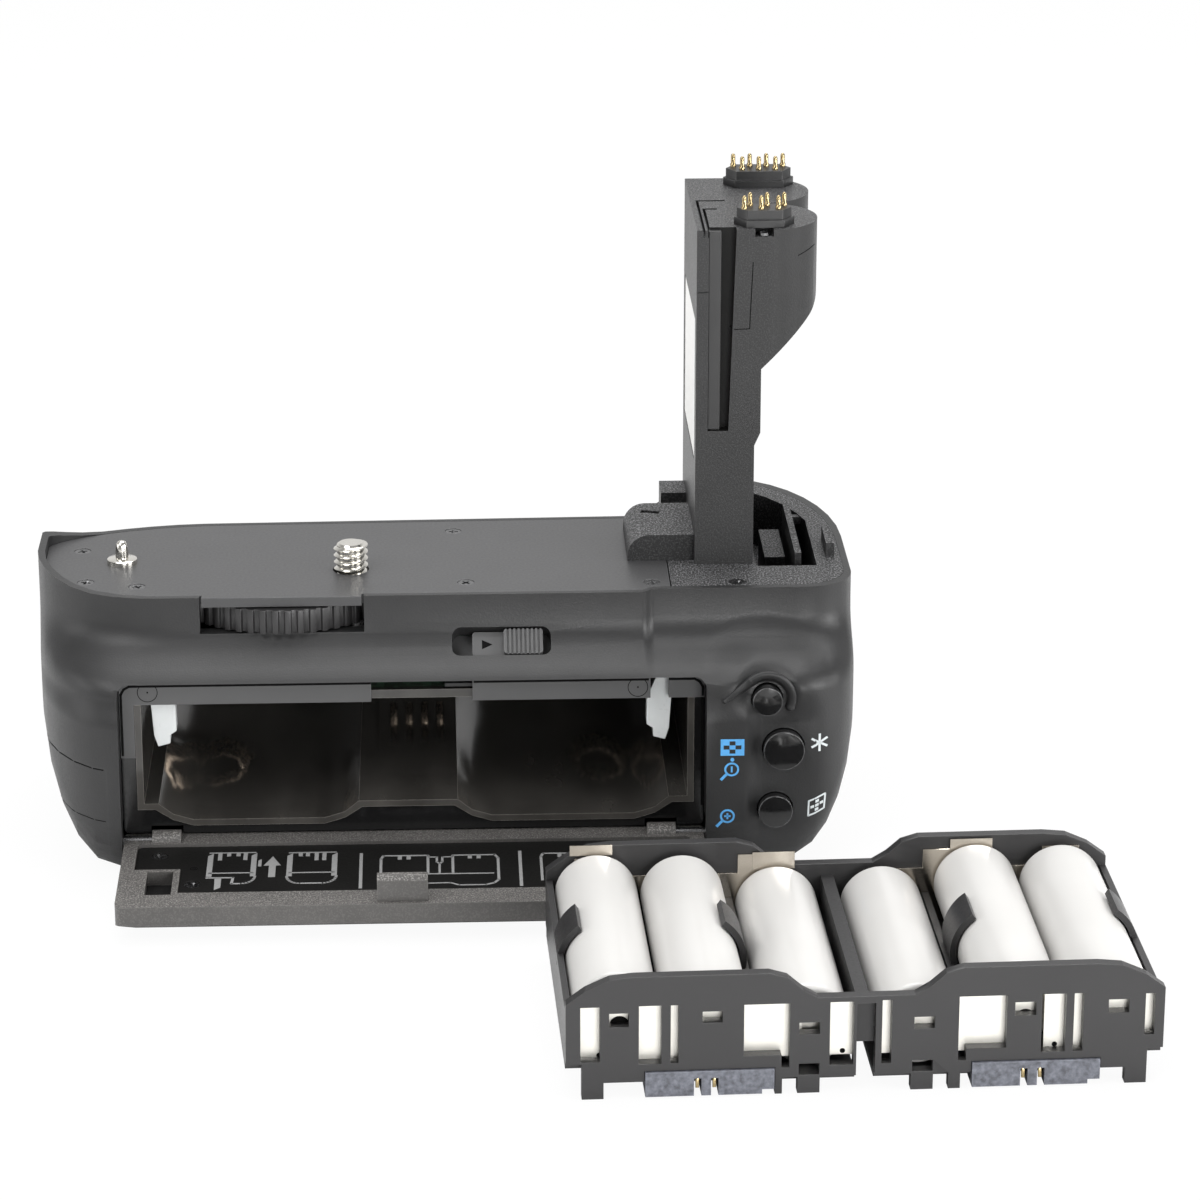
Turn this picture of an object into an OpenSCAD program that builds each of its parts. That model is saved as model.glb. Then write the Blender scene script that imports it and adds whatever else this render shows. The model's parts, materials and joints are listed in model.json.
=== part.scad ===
// Battery grip for a camera: a lofted housing with a clamp screw drive, a battery chamber behind a
// hinged door, a contact stalk that enters the camera, and a loose tray of six round cells.
// The origin is where the camera screw leaves the mounting plate.
// X runs to the hand grip, Y runs to the lens side and Z runs up, all in millimetres.

/* [Housing] */
// Housing beyond the left end of the door opening
left_end = 15.7; // [14.5:0.1:19]
// Housing beyond the right end of the door opening
right_end = 27.7; // [26.5:0.1:32]
// Distance of the rear wall behind the screw, at the top
rear_top = 14.8; // [14.4:0.1:15.6]
// Distance of the rear wall behind the screw, at the door
rear_reach = 25; // [24:0.1:27]
// Distance of the front edge of the mounting plate from the screw
front_top = 27; // [26.5:0.1:30]
// Distance of the front of the hand grip from the screw
grip_reach = 51; // [49:0.5:54]
// Wall thickness of the housing
wall = 2.5; // [2.2:0.1:2.8]
// Rim of the wall that frames the mounting plate
rim = 1.2; // [1:0.1:1.6]
// Height of the mechanism space above the chamber
mech_h = 18.6; // [18.4:0.1:21]
// Height of the base below the chamber
base_h = 9.8; // [9.6:0.1:12]
// Height of the raised lip at the left corner
lip_h = 2.5; // [1:0.1:3.5]
// Thickness of the rubber on the hand grip
skin_t = 1.2; // [0.8:0.1:1.4]
// How far the base pad stands below the housing
pad_proud = 0.5; // [0.4:0.1:1]

/* [Battery chamber] */
// Inner width of the chamber
chamber_w = 99.4; // [98.6:0.1:104]
// Inner height of the chamber
chamber_h = 22.6; // [22:0.1:25]
// Depth of the chamber behind its mouth frame
chamber_depth = 58.5; // [57.5:0.5:62]
// Left end of the chamber, measured from the screw
chamber_left = 38.2; // [36:0.1:40]
// Wall thickness of the chamber
liner = 1.6; // [1.2:0.1:2]
// Rise of the chamber floor between its two lobes
lobe_rise = 3.2; // [2:0.1:4]
// Thickness of the mouth frame
frame_t = 1.8; // [1.4:0.1:2.2]
// Wire diameter of the eject springs
spring_wire = 0.9; // [0.7:0.1:1.1]
// Coil radius of the eject springs
spring_r = 4.2; // [3.6:0.1:5]
// Number of turns of the eject springs
spring_turns = 4; // [3:1:5]
// Free length of the eject springs
spring_len = 9; // [8:0.5:11]

/* [Battery door] */
// Thickness of the door
door_t = 4.6; // [4.2:0.1:5]
// Door opening beyond the left end of the chamber
jamb_left = 4; // [3.6:0.1:5]
// Door opening beyond the right end of the chamber
jamb_right = 3.2; // [3:0.1:5]
// Height of the bar above the chamber mouth
top_bar = 5.2; // [5:0.1:5.8]
// Angle at which the door stands open
door_open = 90; // [80:1:90]
// Radius of the hinge pins
hinge_r = 1.1; // [0.9:0.05:1.3]
// Gap between the door and its opening
door_gap = 0.3; // [0.2:0.05:0.5]

/* [Camera screw drive] */
// Outer radius of the camera screw thread
screw_r = 3.175; // [3:0.025:3.3]
// Height of the screw above the plate
screw_proud = 5.2; // [4.5:0.1:6]
// Thickness of the mounting plate
plate_t = 1.8; // [1.6:0.1:2]
// Rim radius of the thumb wheel
wheel_r = 20; // [19.8:0.1:20.6]
// Height of the thumb wheel
wheel_h = 4.4; // [4.2:0.1:4.6]
// Number of grip ribs on the thumb wheel
wheel_ribs = 54; // [40:1:60]
// Gear module of the wheel and the pinion
gear_m = 0.8; // [0.78:0.01:0.82]
// Teeth inside the thumb wheel
ring_teeth = 44; // [43:1:45]
// Teeth on the screw pinion
pinion_teeth = 12; // [11:1:13]
// Radial play of turning parts
run_fit = 0.05; // [0.03:0.01:0.1]

/* [Release slider] */
// Left end of the slider slot
slot_left = 18.4; // [17:0.1:20]
// Length of the slider slot
slot_len = 18; // [17.5:0.1:20]
// Width of the slider slot
slot_w = 5.6; // [5.2:0.1:6]
// Travel of the slider to its locked end
slide_lock = 3.2; // [2.5:0.1:3.3]

/* [Controls] */
// Radius of the upper rear button
button_top_r = 2.75; // [2:0.05:3]
// Radius of the middle rear button
button_mid_r = 3.75; // [3:0.05:4]
// Radius of the lower rear button
button_low_r = 3.15; // [2.4:0.05:3.4]
// Travel of the rear buttons
button_travel = 0.8; // [0.5:0.1:1]
// Radius of the shutter button
shutter_r = 5.5; // [5:0.1:6]
// Radius of the function button
function_r = 2.6; // [2.2:0.1:3]
// Radius of the control dial
dial_r = 10; // [9.6:0.1:10.4]
// Width of the control dial
dial_w = 7; // [6:0.1:8]
// Width of the power ring round the shutter button
power_ring = 1.9; // [1.5:0.1:2.2]

/* [Battery stalk] */
// Left side of the stalk, inward from the right end of the door opening
stalk_x = 0.9; // [0:0.1:1.4]
// Width of the stalk across its lobes
stalk_w = 22.5; // [21.5:0.1:23.5]
// Depth of the stalk from rear to front
stalk_d = 38; // [36.5:0.1:39]
// Height of the stalk above the deck
stalk_h = 63.7; // [61:0.1:68]
// Rear face of the stalk, measured in front of the screw
stalk_rear = 0; // [-0.5:0.1:1]
// Radius of the contact pins
pin_r = 0.55; // [0.4:0.05:0.7]
// Height of the contact pins above their blocks
pin_h = 2.5; // [2:0.1:4]

/* [Cell tray] */
// Radius of a cell
cell_r = 7.2; // [7:0.05:7.25]
// Length of a cell
cell_len = 50.5; // [49.5:0.1:51]
// Thickness of the tray's end plates
tray_plate = 2; // [1.6:0.1:2.4]
// Height of the tray over its humps
tray_h = 21.7; // [21.2:0.1:22.5]
// Place of the tray's middle beside the screw
tray_x = 83.3; // [80:0.1:90]
// Distance of the cells behind the screw
tray_y = 61.6; // [60.5:0.1:80]
// Turn of the tray against the housing
tray_yaw = 1.7; // [0:0.1:3]

/* [Hidden] */
$fn = 48;
eps = 0.05;
clear = 0.3;

// Levels of the chamber and the door, front to back and top to bottom
chamber_top = -mech_h;
chamber_floor = chamber_top - chamber_h;
body_bottom = chamber_floor - base_h;
floor_z = body_bottom - pad_proud;
door_in = -rear_reach + door_t;
frame_y = door_in + 0.4;
chamber_y = frame_y + frame_t;
chamber_end = chamber_y + chamber_depth;
front_reach = chamber_end + liner + 1.1 + wall;
chamber_x = -chamber_left;
chamber_right = chamber_x + chamber_w;
chamber_mid = chamber_x + chamber_w / 2;
open_left = chamber_x - jamb_left;
open_right = chamber_right + jamb_right;
open_top = chamber_top + top_bar;
hinge_y = door_in - 0.6;
hinge_z = chamber_floor - 3.8;
knuckle_r = hinge_r + 1;
knuckle_w = 5.2;
knuckle_in = 5.4;
door_low = hinge_z - 2.6;
trough_r = 4.5;
opening_r = 2;

// Ends of the housing and how far each end curve runs along it
body_left = -open_left + left_end;
body_right = open_right + right_end;
left_tip = 12;
left_flat = 0.25;
left_span = 30;
left_bulge = 17.5;
left_run = 18;
left_run_top = 22;
right_tip = 14;
right_flat = 0.7;
right_run = 9;
right_span = 22;
front_flat = 0.03;
swell_x = body_right - 42;
swell_run = 20;
jog_x = open_right - 11.4;
jog_run = 2.4;
jog = 1.7;
end_lift = 25;
end_run = 13;
lip_start = body_left - 12;
shelf_top = -5;
shelf_mid = -11;
shelf_low = chamber_top + 2.6;
front_shelf = -4;
corner_rear = 8;
corner_front = 9;
end_rings = 9;
swell_rings = 6;
shelf_points = 7;
corner_points = 6;

function clamp01(u) = min(1, max(0, u));
function round_off(u, n) = pow(1 - pow(1 - clamp01(u), n), 1 / n);
function smooth(u) = let (c = clamp01(u)) c * c * (3 - 2 * c);
function mix(a, b, k) = a * (1 - k) + b * k;
function bezier(a, b, c, d, k) =
    a * pow(1 - k, 3) + 3 * b * k * pow(1 - k, 2) + 3 * c * k * k * (1 - k) + d * pow(k, 3);

// Plan of the housing: its rear and front face at one place along X
function top_reach(x) = rear_top - jog * smooth((x - jog_x) / jog_run);
function rear_y(x, reach, run, inset) =
    inset + (x < 0
        ? mix(left_tip, -reach, mix(left_flat, 1, round_off((x + body_left - inset) / run, 1.9)))
        : mix(right_tip, -reach, mix(right_flat, 1, round_off((body_right - inset - x) / right_run, 2))));
function front_y(x, reach, run, power, inset) =
    let (full = mix(reach, grip_reach, smooth((x - swell_x) / swell_run)))
    -inset + (x < 0
        ? mix(left_tip, full, mix(left_flat, 1, round_off((x + body_left - inset) / run, power)))
        : mix(right_tip, full, mix(front_flat, 1, round_off((body_right - inset - x) / right_span, 2))));
function bottom_z(x, inset) =
    let (end = min(x + body_left, body_right - x) - inset)
    body_bottom + inset + end_lift * (1 - round_off(end / end_run, 1.8));
function top_z(x) = lip_h * pow(clamp01((-lip_start - x) / (body_left - lip_start)), 2);

// Places along X where the housing has a section, close together at the rounded ends
function stations(inset) = concat(
    [for (i = [0:end_rings]) inset - body_left + left_span * (1 - cos(90 * i / end_rings))],
    [for (i = [0:swell_rings - 1]) jog_x + jog_run * i / (swell_rings - 1)],
    [for (i = [1:swell_rings - 1])
        mix(jog_x + jog_run, body_right - inset - right_span, i / swell_rings)],
    [for (i = [end_rings:-1:0]) body_right - inset - right_span * (1 - cos(90 * i / end_rings))]);

// One closed section of the housing, from the rear top edge down, under and up to the front top edge
function section(x, inset, top) =
    let (
        rt = rear_y(x, top_reach(x), left_run_top, inset),
        rb = rear_y(x, rear_reach, left_run, inset),
        ft = front_y(x, front_top, left_span, 1.6, inset),
        fb = front_y(x, front_reach, left_bulge, 2, inset),
        zb = bottom_z(x, inset),
        zt = is_undef(top) ? top_z(x) : top,
        low = shelf_low - inset,
        room = min(0.4 * (fb - rb), 0.85 * (low - zb)),
        rr = min(corner_rear - inset / 2, room),
        rf = min(corner_front - inset / 2, room))
    concat(
        [[x, rt, zt]],
        [for (i = [0:shelf_points]) let (k = i / shelf_points)
            [x, bezier(rt, rt, rb, rb, k),
             bezier(shelf_top - inset, shelf_mid - inset, shelf_mid - inset, low, k)]],
        [for (i = [0:corner_points]) let (a = 90 * i / corner_points)
            [x, rb + rr * (1 - cos(a)), zb + rr * (1 - sin(a))]],
        [for (i = [0:corner_points]) let (a = 90 * i / corner_points)
            [x, fb - rf * (1 - sin(a)), zb + rf * (1 - cos(a))]],
        [for (i = [0:shelf_points]) let (k = i / shelf_points)
            [x, bezier(fb, fb, ft, ft, k),
             bezier(low, shelf_mid - inset, shelf_mid - inset, front_shelf - inset, k)]],
        [[x, ft, zt]]);

function mean(list) = list * [for (v = list) 1] / len(list);

// Skin of triangles over a list of sections with equal counts of points
module loft(sections) {
    n = len(sections[0]);
    m = len(sections);
    middles = [for (s = [sections[0], sections[m - 1]])
        [s[0][0], mean([for (p = s) p[1]]), mean([for (p = s) p[2]])]];
    points = concat([for (s = sections) for (p = s) p], middles);
    sides = [for (i = [0:m - 2]) for (j = [0:n - 1])
        let (a = i * n + j, b = i * n + (j + 1) % n, c = b + n, d = a + n)
        each [[a, d, c], [a, c, b]]];
    first = [for (j = [0:n - 1]) [m * n, j, (j + 1) % n]];
    last = [for (j = [0:n - 1]) [m * n + 1, (m - 1) * n + (j + 1) % n, (m - 1) * n + j]];
    polyhedron(points, concat(sides, first, last));
}

// The housing's outer form, drawn in by inset and closed at the given top
module body_form(inset, top) {
    loft([for (x = stations(inset)) section(x, inset, top)]);
}

// Plan of the opening that the rim leaves at the top of the housing
module plan_slab(inset, low, high) {
    xs = stations(inset);
    n = len(xs);
    rear = [for (x = xs) [x, rear_y(x, top_reach(x), left_run_top, inset)]];
    front = [for (i = [n - 1:-1:0]) [xs[i], front_y(xs[i], front_top, left_span, 1.6, inset)]];
    translate([0, 0, low]) linear_extrude(high - low) polygon(concat(rear, front));
}

// Points of a rectangle with its own radius at the upper and the lower corners
function box_points(x0, z0, x1, z1, r_low, r_high) = concat(
    [for (i = [0:6]) [x0 + r_low * (1 - cos(15 * i)), z0 + r_low * (1 - sin(15 * i))]],
    [for (i = [0:6]) [x1 - r_low * (1 - sin(15 * i)), z0 + r_low * (1 - cos(15 * i))]],
    [for (i = [0:6]) [x1 - r_high * (1 - cos(15 * i)), z1 - r_high * (1 - sin(15 * i))]],
    [for (i = [0:6]) [x0 + r_high * (1 - sin(15 * i)), z1 - r_high * (1 - cos(15 * i))]]);

// A flat shape of X and Z, drawn out along Y, and one of Y and Z, drawn out along X
module along_y(y0, y1) {
    translate([0, y1, 0]) rotate([90, 0, 0]) linear_extrude(y1 - y0) children();
}
module along_x(x0, x1) {
    translate([x0, 0, 0]) rotate([90, 0, 90]) linear_extrude(x1 - x0) children();
}
module block(low, high) {
    translate(low) cube(high - low);
}
module rod_y(x, z, r, y0, y1) {
    translate([x, y1, z]) rotate([90, 0, 0]) cylinder(r = r, h = y1 - y0);
}
module rod_x(y, z, r, x0, x1) {
    translate([x0, y, z]) rotate([0, 90, 0]) cylinder(r = r, h = x1 - x0);
}

// Fasteners of the mounting plate and the deck
plate_split = open_right - 6;
plate_screw_places = [
    [-50.2, 12], [-48.4, -5.4], [-38.9, -8.1], [19, 20.8], [21.1, -8.1], [plate_split - 3.3, -9.5]];
deck_screw_place = [plate_split + 12.3, -9.9];
screw_head_r = 1.5;
screw_head_t = 0.9;
screw_core_r = 0.75;
screw_len = 5;
boss_r = 2.4;
boss_h = 5;
pin_place = [-42.4, 5];
pin_base_r = 2.8;
locate_r = 1.2;
locate_h = 4.4;

// Camera screw drive: the wheel's axis lies one gear distance from the screw
ring_pitch = gear_m * ring_teeth / 2;
pinion_pitch = gear_m * pinion_teeth / 2;
gear_gap = ring_pitch - pinion_pitch;
wheel_x = -12.4;
wheel_y = sqrt(gear_gap * gear_gap - wheel_x * wheel_x);
gear_angle = atan2(-wheel_y, -wheel_x);
tooth_add = 0.7 * gear_m;
tooth_ded = 0.9 * gear_m;
tooth_half = 0.66 * gear_m;
tooth_slant = 0.31 * gear_m;
wheel_top = -plate_t - clear;
wheel_low = wheel_top - wheel_h;
wheel_lip = 1.3;
gear_t = 2;
carrier_r = ring_pitch - 0.7;
retainer_r = ring_pitch + 0.2;
carrier_low = wheel_top - wheel_lip - 0.1;
retainer_t = 0.7;
shaft_r = 2.6;
journal_r = 2;
bearing_top = wheel_low - 1.9;
bearing_t = 1.4;
drive_post_r = 6;
window_left = wheel_x - 14.9;
window_right = wheel_x + 14.9;
window_low = wheel_low - 0.3;
rib_depth = 0.6;

// Release slider: it lies in the bend of the rear wall, on a face that leans back by half a right angle
slide_y = -rear_top - 1.8;
slide_z = -8.7;
slide_tilt = -45;
slide_left = slot_left + slide_lock + 0.5;
slide_w = slot_w - 0.7;
arrow_len = 5.7;
pad_len = 7.1;
tongue_depth = wall * 1.414 + 0.5;
tongue_t = 1.2;
latch_top = chamber_top + 3.8;
latch_low = chamber_top + 1.9;
hook_left = 4.5;
hook_right = 13.5;
hook_low = chamber_top + 2;
hook_high = open_top - 1.2;
hook_foot = open_top - 3.6;
notch_left = hook_left - 0.9;
notch_right = hook_right + 8.5;

// Lock levers at both ends of the chamber
lever_pin_r = 1;
lever_x = chamber_x + 0.8;
lever_z = chamber_top + 2.2;
lever_y = chamber_y + clear;
lever_t = 3.4;
lever_mid = chamber_mid - 0.6;

// Rear buttons: place of each, with its radius
rear_buttons = [
    [open_right + 10.9, chamber_top + 1.4, button_top_r],
    [open_right + 14, chamber_top - 8.2, button_mid_r],
    [open_right + 12.6, chamber_top - 20.1, button_low_r]];
button_proud = 1.6;
button_gap = 0.2;
flange_t = 0.8;
button_flange = 0.9;
pad_y = -rear_reach + wall + 0.1 + flange_t + button_travel + 0.2;
pad_t = 1;
board_t = 1.4;
board_y = pad_y + pad_t;
board_left = open_right + 5.5;
board_right = open_right + 20.5;
board_low = chamber_top - 25.5;
board_high = chamber_top + 4.2;
post_r = 1.6;
post_places = [[board_left + 1.7, board_low + 1.9], [board_right - 1.8, board_low + 12],
    [board_left + 1.7, board_low + 18]];

// Portrait shutter group on the front corner of the hand grip
shutter_turn = 42;
shutter_x = body_right - 6.2;
shutter_y = grip_reach - 11.2;
shutter_z = chamber_top - 2.4;
function_z = chamber_top - 16.4;
corner_wall = 6;
ring_gap = 0.4;
shutter_proud = 3;
shutter_travel = 1;
ring_h = 1.6;
seat_r = shutter_r + ring_gap + power_ring + clear;
dial_x = body_right + 1.6 - dial_r;
dial_y = 20;
dial_z = chamber_top - 8.4;
dial_ribs = 30;
axle_r = 1.5;

// Stalk: step of its right side and its two round lobes
stalk_left = open_right - stalk_x;
stalk_foot = 10.8;
stalk_neck = 11.9;
stalk_back = stalk_rear + stalk_d;
lobe_r = stalk_d / 4;
lobe_x = stalk_left + stalk_w - lobe_r;
lobe_rear = stalk_rear + lobe_r;
lobe_front = stalk_back - lobe_r;
rear_conn = [lobe_x - 0.6, lobe_rear - 5.1, stalk_h];
front_conn = [lobe_x + 0.5, lobe_front + 5, stalk_h];
stalk_screw_place = [rear_conn[0] - 0.2, stalk_rear + 1.3];
stalk_screw_drop = 0.7;
groove_x = stalk_left + 2.2;
groove_w = 3.8;
groove_d = 2.2;
groove_low = 25.8;
groove_flare = 1.2;
label_low = 19;
label_high = 46;
label_t = 0.4;

// Deck round the foot of the stalk, with the pocket for the camera's battery cover
pocket_left = stalk_left + stalk_foot + 0.6;
pocket_right = body_right - 6;
pocket_rear = -1.4;
pocket_front = 46;
pocket_deep = 10;
pocket_wall = 1.4;
foot_left = stalk_left - 12.3;
foot_h = 5;
foot_rear = 2.4;
foot_front = 21;

// Tray: offsets of the six cells and levels of its shell
cell_pitch = 14.87;
cell_offsets = [-40.65, -40.65 + cell_pitch, -9.13, 9.13, 40.65 - cell_pitch, 40.65];
tray_half = 49.2;
tray_top = floor_z + tray_h;
outer_axis = floor_z + 6.2 + cell_r;
inner_axis = outer_axis - 3.1;
tray_wall = 1.1;
tray_floor = 1.2;
seat_gap = 0.2;
outer_floor = outer_axis - cell_r - seat_gap;
inner_floor = inner_axis - cell_r - seat_gap;
step_x = 17.9;
near_in = -cell_len - 1.1;
near_out = near_in - tray_plate;
far_in = 0.9;
far_out = far_in + tray_plate;
strip_t = 0.4;
finger_t = 1.1;
finger_w = 9;
terminal_z = outer_floor - tray_floor - 0.1;
terminal_places = [-25.6, 28.2];
terminal_w = 21.2;
terminal_d = 8;
plate_low = floor_z + 2.9;
mid_slot = 1.55;
mid_slot_h = 12.9;
mid_open = 5.2;
mid_open_d = 24;

// Outline of the door and of its opening, grown or shrunk by edge
module door_outline(edge) {
    polygon(box_points(open_left - edge, door_low - edge, open_right + edge, open_top + edge, 1, opening_r));
}

// Space swept by the lower edge of the door as it swings on its pins
module hinge_trough() {
    rod_x(hinge_y, hinge_z, trough_r, open_left, open_right);
    block([open_left, -rear_reach - 5, floor_z - 1], [open_right, hinge_y - 0.5, hinge_z]);
}

// Region of the housing that belongs to the base cover
module base_region() {
    split_z = chamber_top - 11;
    base_z = hinge_z - 2;
    split_x = open_left - 2.4;
    far = 100;
    along_y(-far, far) polygon([
        [-far, -far], [open_right + 2, -far], [open_right + 2, base_z], [split_x, base_z],
        [split_x, split_z], [-far, split_z]]);
}

// Front region of the hand grip that carries the rubber
module grip_region(edge) {
    along_y(front_top + 10, grip_reach + 10)
        polygon(box_points(body_right - 40 - edge, body_bottom + 8 - edge, body_right - 13 + edge,
            -8 + edge, 6, 6));
}

// Frame of the shutter group: its own Z points out of the front corner
module at_corner(z) {
    translate([shutter_x, shutter_y, z]) rotate([0, 0, shutter_turn]) rotate([0, 90, 0]) children();
}
// Frame of the slider: its own Y points into the wall and its Z up along the slot's face
module at_slot() {
    translate([0, slide_y, slide_z]) rotate([slide_tilt, 0, 0]) children();
}

module jamb() {
    inner = chamber_y;
    lip = 1.6;
    over = 1;
    along_x(open_left - over, open_right + over)
        polygon([[-rear_reach + 2.1, open_top - over], [inner, open_top - over], [inner, open_top + lip],
            [-rear_reach + 4.4, open_top + lip]]);
    for (x = [open_left - 2, open_right - over])
        along_x(x, x + 2 + over)
            polygon([[-rear_reach + lip, chamber_floor], [inner, chamber_floor], [inner, open_top + over],
                [-rear_reach + 4.4, open_top + over], [-rear_reach + lip, open_top - 4]]);
}

module plate_bosses() {
    low = -plate_t - boss_h;
    top = -plate_t + 0.5;
    web = 1.2;
    for (p = concat(plate_screw_places, [deck_screw_place]))
        translate([p[0], p[1], low]) cylinder(r = boss_r, h = top - low);
    for (p = [plate_screw_places[2], plate_screw_places[4], plate_screw_places[5], deck_screw_place])
        block([p[0] - web, -top_reach(p[0] + web) + 0.9, low + 0.4], [p[0] + web, p[1], top]);
    block([plate_screw_places[3][0] - web, plate_screw_places[3][1], low + 0.4],
        [plate_screw_places[3][0] + web, front_top - 0.9, top]);
    block([-body_left + 0.9, plate_screw_places[0][1] - web, low + 0.4],
        [plate_screw_places[0][0], plate_screw_places[0][1] + web, top]);
}

// Guides of the shutter and function buttons, inside the corner wall
module corner_guides() {
    for (g = [[shutter_z, shutter_r], [function_z, function_r]])
        at_corner(g[0]) translate([0, 0, -corner_wall + 0.1]) cylinder(r = g[1] + 1.6, h = corner_wall + 0.5);
}

// Raised thumb guide that curls round the upper rear button and trails off to the left
module thumb_ridge() {
    ridge_r = 0.9;
    ridge_way = button_top_r + 1.7;
    from = -20;
    turn = 150;
    tail = [-7.6, -0.4];
    b = rear_buttons[0];
    start = ridge_way * [cos(from + turn), sin(from + turn)];
    way = tail - start;
    translate([b[0], -rear_reach, b[1]]) rotate([90, 0, 0]) {
        rotate([0, 0, from]) rotate_extrude(angle = turn) translate([ridge_way, 0]) circle(r = ridge_r, $fn = 24);
        translate([start[0], start[1], 0]) rotate([0, 0, atan2(way[1], way[0])]) rotate([0, 90, 0])
            cylinder(r1 = ridge_r, r2 = ridge_r / 2, h = norm(way), $fn = 24);
        for (e = [[ridge_way * [cos(from), sin(from)], ridge_r], [start, ridge_r], [tail, ridge_r / 2]])
            translate([e[0][0], e[0][1], 0]) sphere(r = e[1] + eps, $fn = 24);
    }
}

module board_posts() {
    for (p = post_places) rod_y(p[0], p[1], post_r, -rear_reach + 1, board_y);
}

module main_housing() {
    color("#3c3d3f")
    difference() {
        union() {
            difference() {
                body_form(0);
                body_form(wall, -plate_t + 0.4);
                along_y(pad_y - clear, board_y + board_t + clear) board_plan(-clear);
                for (b = rear_buttons)
                    rod_y(b[0], b[1], b[2] + button_flange + clear, -rear_reach + wall - eps, board_y);
            }
            jamb();
            plate_bosses();
            board_posts();
            corner_guides();
            thumb_ridge();
        }
        plan_slab(rim, -plate_t, lip_h + 1);
        base_region();
        along_y(-rear_reach - 5, chamber_y + 0.5) door_outline(0);
        hinge_trough();
        block([window_left, -rear_top - 3, window_low], [window_right, -rear_top + wall + 1, 1]);
        at_slot() along_y(-8, tongue_depth - 0.2)
            polygon(box_points(slot_left, -slot_w / 2, slot_left + slot_len, slot_w / 2, 1.6, 1.6));
        difference() {
            grip_region(eps);
            body_form(skin_t + eps);
        }
        for (b = rear_buttons) rod_y(b[0], b[1], b[2] + button_gap, -rear_reach - 3, -rear_reach + wall + 1);
        at_corner(shutter_z) {
            cylinder(r = shutter_r + button_gap, h = 20, center = true);
            cylinder(r = seat_r, h = 20);
        }
        at_corner(function_z) {
            cylinder(r = function_r + button_gap, h = 20, center = true);
            cylinder(r = function_r + 1.4, h = 20);
        }
        block([dial_x, dial_y - dial_w / 2 - 0.5, dial_z - dial_r - 0.6],
            [body_right + 2, dial_y + dial_w / 2 + 0.5, dial_z + dial_r + 0.6]);
        rod_x(hinge_y, hinge_z, hinge_r, open_left - 1.9, open_left + 1);
        rod_x(hinge_y, hinge_z, hinge_r, open_right - 1, open_right + 1.9);
        for (p = concat(plate_screw_places, [deck_screw_place]))
            translate([p[0], p[1], -screw_len - 1]) cylinder(r = screw_core_r + eps, h = screw_len);
    }
}

// Base cover with the boss of the tripod bush
bush_place = [0, 8];
bush_r = 6;
bush_bore = 2.55;
bush_h = 7.2;
pad_t_base = 1;
pad_left = chamber_x + 6;
pad_right = chamber_right - 6;
pad_rear = -rear_reach + 16;
pad_front = front_reach - 12;

module pad_plan(edge) {
    difference() {
        polygon(box_points(pad_left - edge, pad_rear - edge, pad_right + edge, pad_front + edge, 5, 5));
        translate(bush_place) circle(r = bush_r + 2.5 - edge);
    }
}

module base_cover() {
    color("#39393b")
    difference() {
        union() {
            intersection() {
                difference() {
                    body_form(0);
                    body_form(wall, -plate_t);
                }
                base_region();
            }
            translate([bush_place[0], bush_place[1], body_bottom + 0.5])
                cylinder(r = bush_r + 2, h = bush_h - 1);
        }
        hinge_trough();
        translate([0, 0, floor_z - 1]) linear_extrude(pad_t_base + 1) pad_plan(eps);
        translate([bush_place[0], bush_place[1], body_bottom - 1]) cylinder(r = bush_r, h = bush_h + 2);
    }
}

module tripod_bush() {
    color("#b9a46a")
    translate([bush_place[0], bush_place[1], body_bottom])
    difference() {
        cylinder(r = bush_r, h = bush_h);
        translate([0, 0, -1]) cylinder(r = bush_bore, h = bush_h + 2);
    }
}

module base_pad() {
    color("#2b2b2c")
    translate([0, 0, floor_z]) linear_extrude(pad_t_base) pad_plan(0);
}

module grip_skin() {
    color("#29292a")
    intersection() {
        difference() {
            body_form(0);
            body_form(skin_t);
        }
        grip_region(0);
    }
}

module top_plate() {
    color("#6d6e70")
    difference() {
        union() {
            intersection() {
                plan_slab(rim + eps, -plate_t, 0);
                block([-body_left, -rear_reach, -plate_t - 1], [plate_split, grip_reach, 1]);
            }
            block([window_left + 0.4, -rear_top - 0.3, -plate_t], [window_right - 0.4, -rear_top + rim + 1, 0]);
        }
        translate([0, 0, -plate_t - 1]) cylinder(r = screw_r + 0.15, h = plate_t + 2);
        translate([pin_place[0], pin_place[1], -plate_t - 1]) cylinder(r = locate_r + eps, h = plate_t + 2);
        for (p = plate_screw_places) translate([p[0], p[1], 0]) {
            translate([0, 0, -plate_t - 1]) cylinder(r = screw_core_r + eps, h = plate_t + 2);
            translate([0, 0, -screw_head_t - 0.1]) cylinder(r = screw_head_r + eps, h = 2);
        }
    }
}

module plate_screw() {
    translate([0, 0, -screw_head_t - 0.1]) cylinder(r = screw_head_r, h = screw_head_t);
    translate([0, 0, -screw_len]) cylinder(r = screw_core_r, h = screw_len - screw_head_t);
}
module plate_screws() {
    color("#8c8d90")
    for (p = concat(plate_screw_places, [deck_screw_place])) translate([p[0], p[1], 0]) plate_screw();
}

module locating_pin() {
    color("#c9c7c0")
    translate([pin_place[0], pin_place[1], 0]) {
        translate([0, 0, -plate_t]) cylinder(r = locate_r, h = plate_t + locate_h - locate_r);
        cylinder(r = pin_base_r, h = 1);
        translate([0, 0, locate_h - locate_r]) sphere(r = locate_r);
    }
}

module pocket_slab(edge, low, high) {
    intersection() {
        plan_slab(wall + pocket_wall + 0.4 - edge, low, high);
        block([pocket_left - edge, pocket_rear - edge, low - 1], [pocket_right + edge, pocket_front + edge, high + 1]);
    }
}

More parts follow.
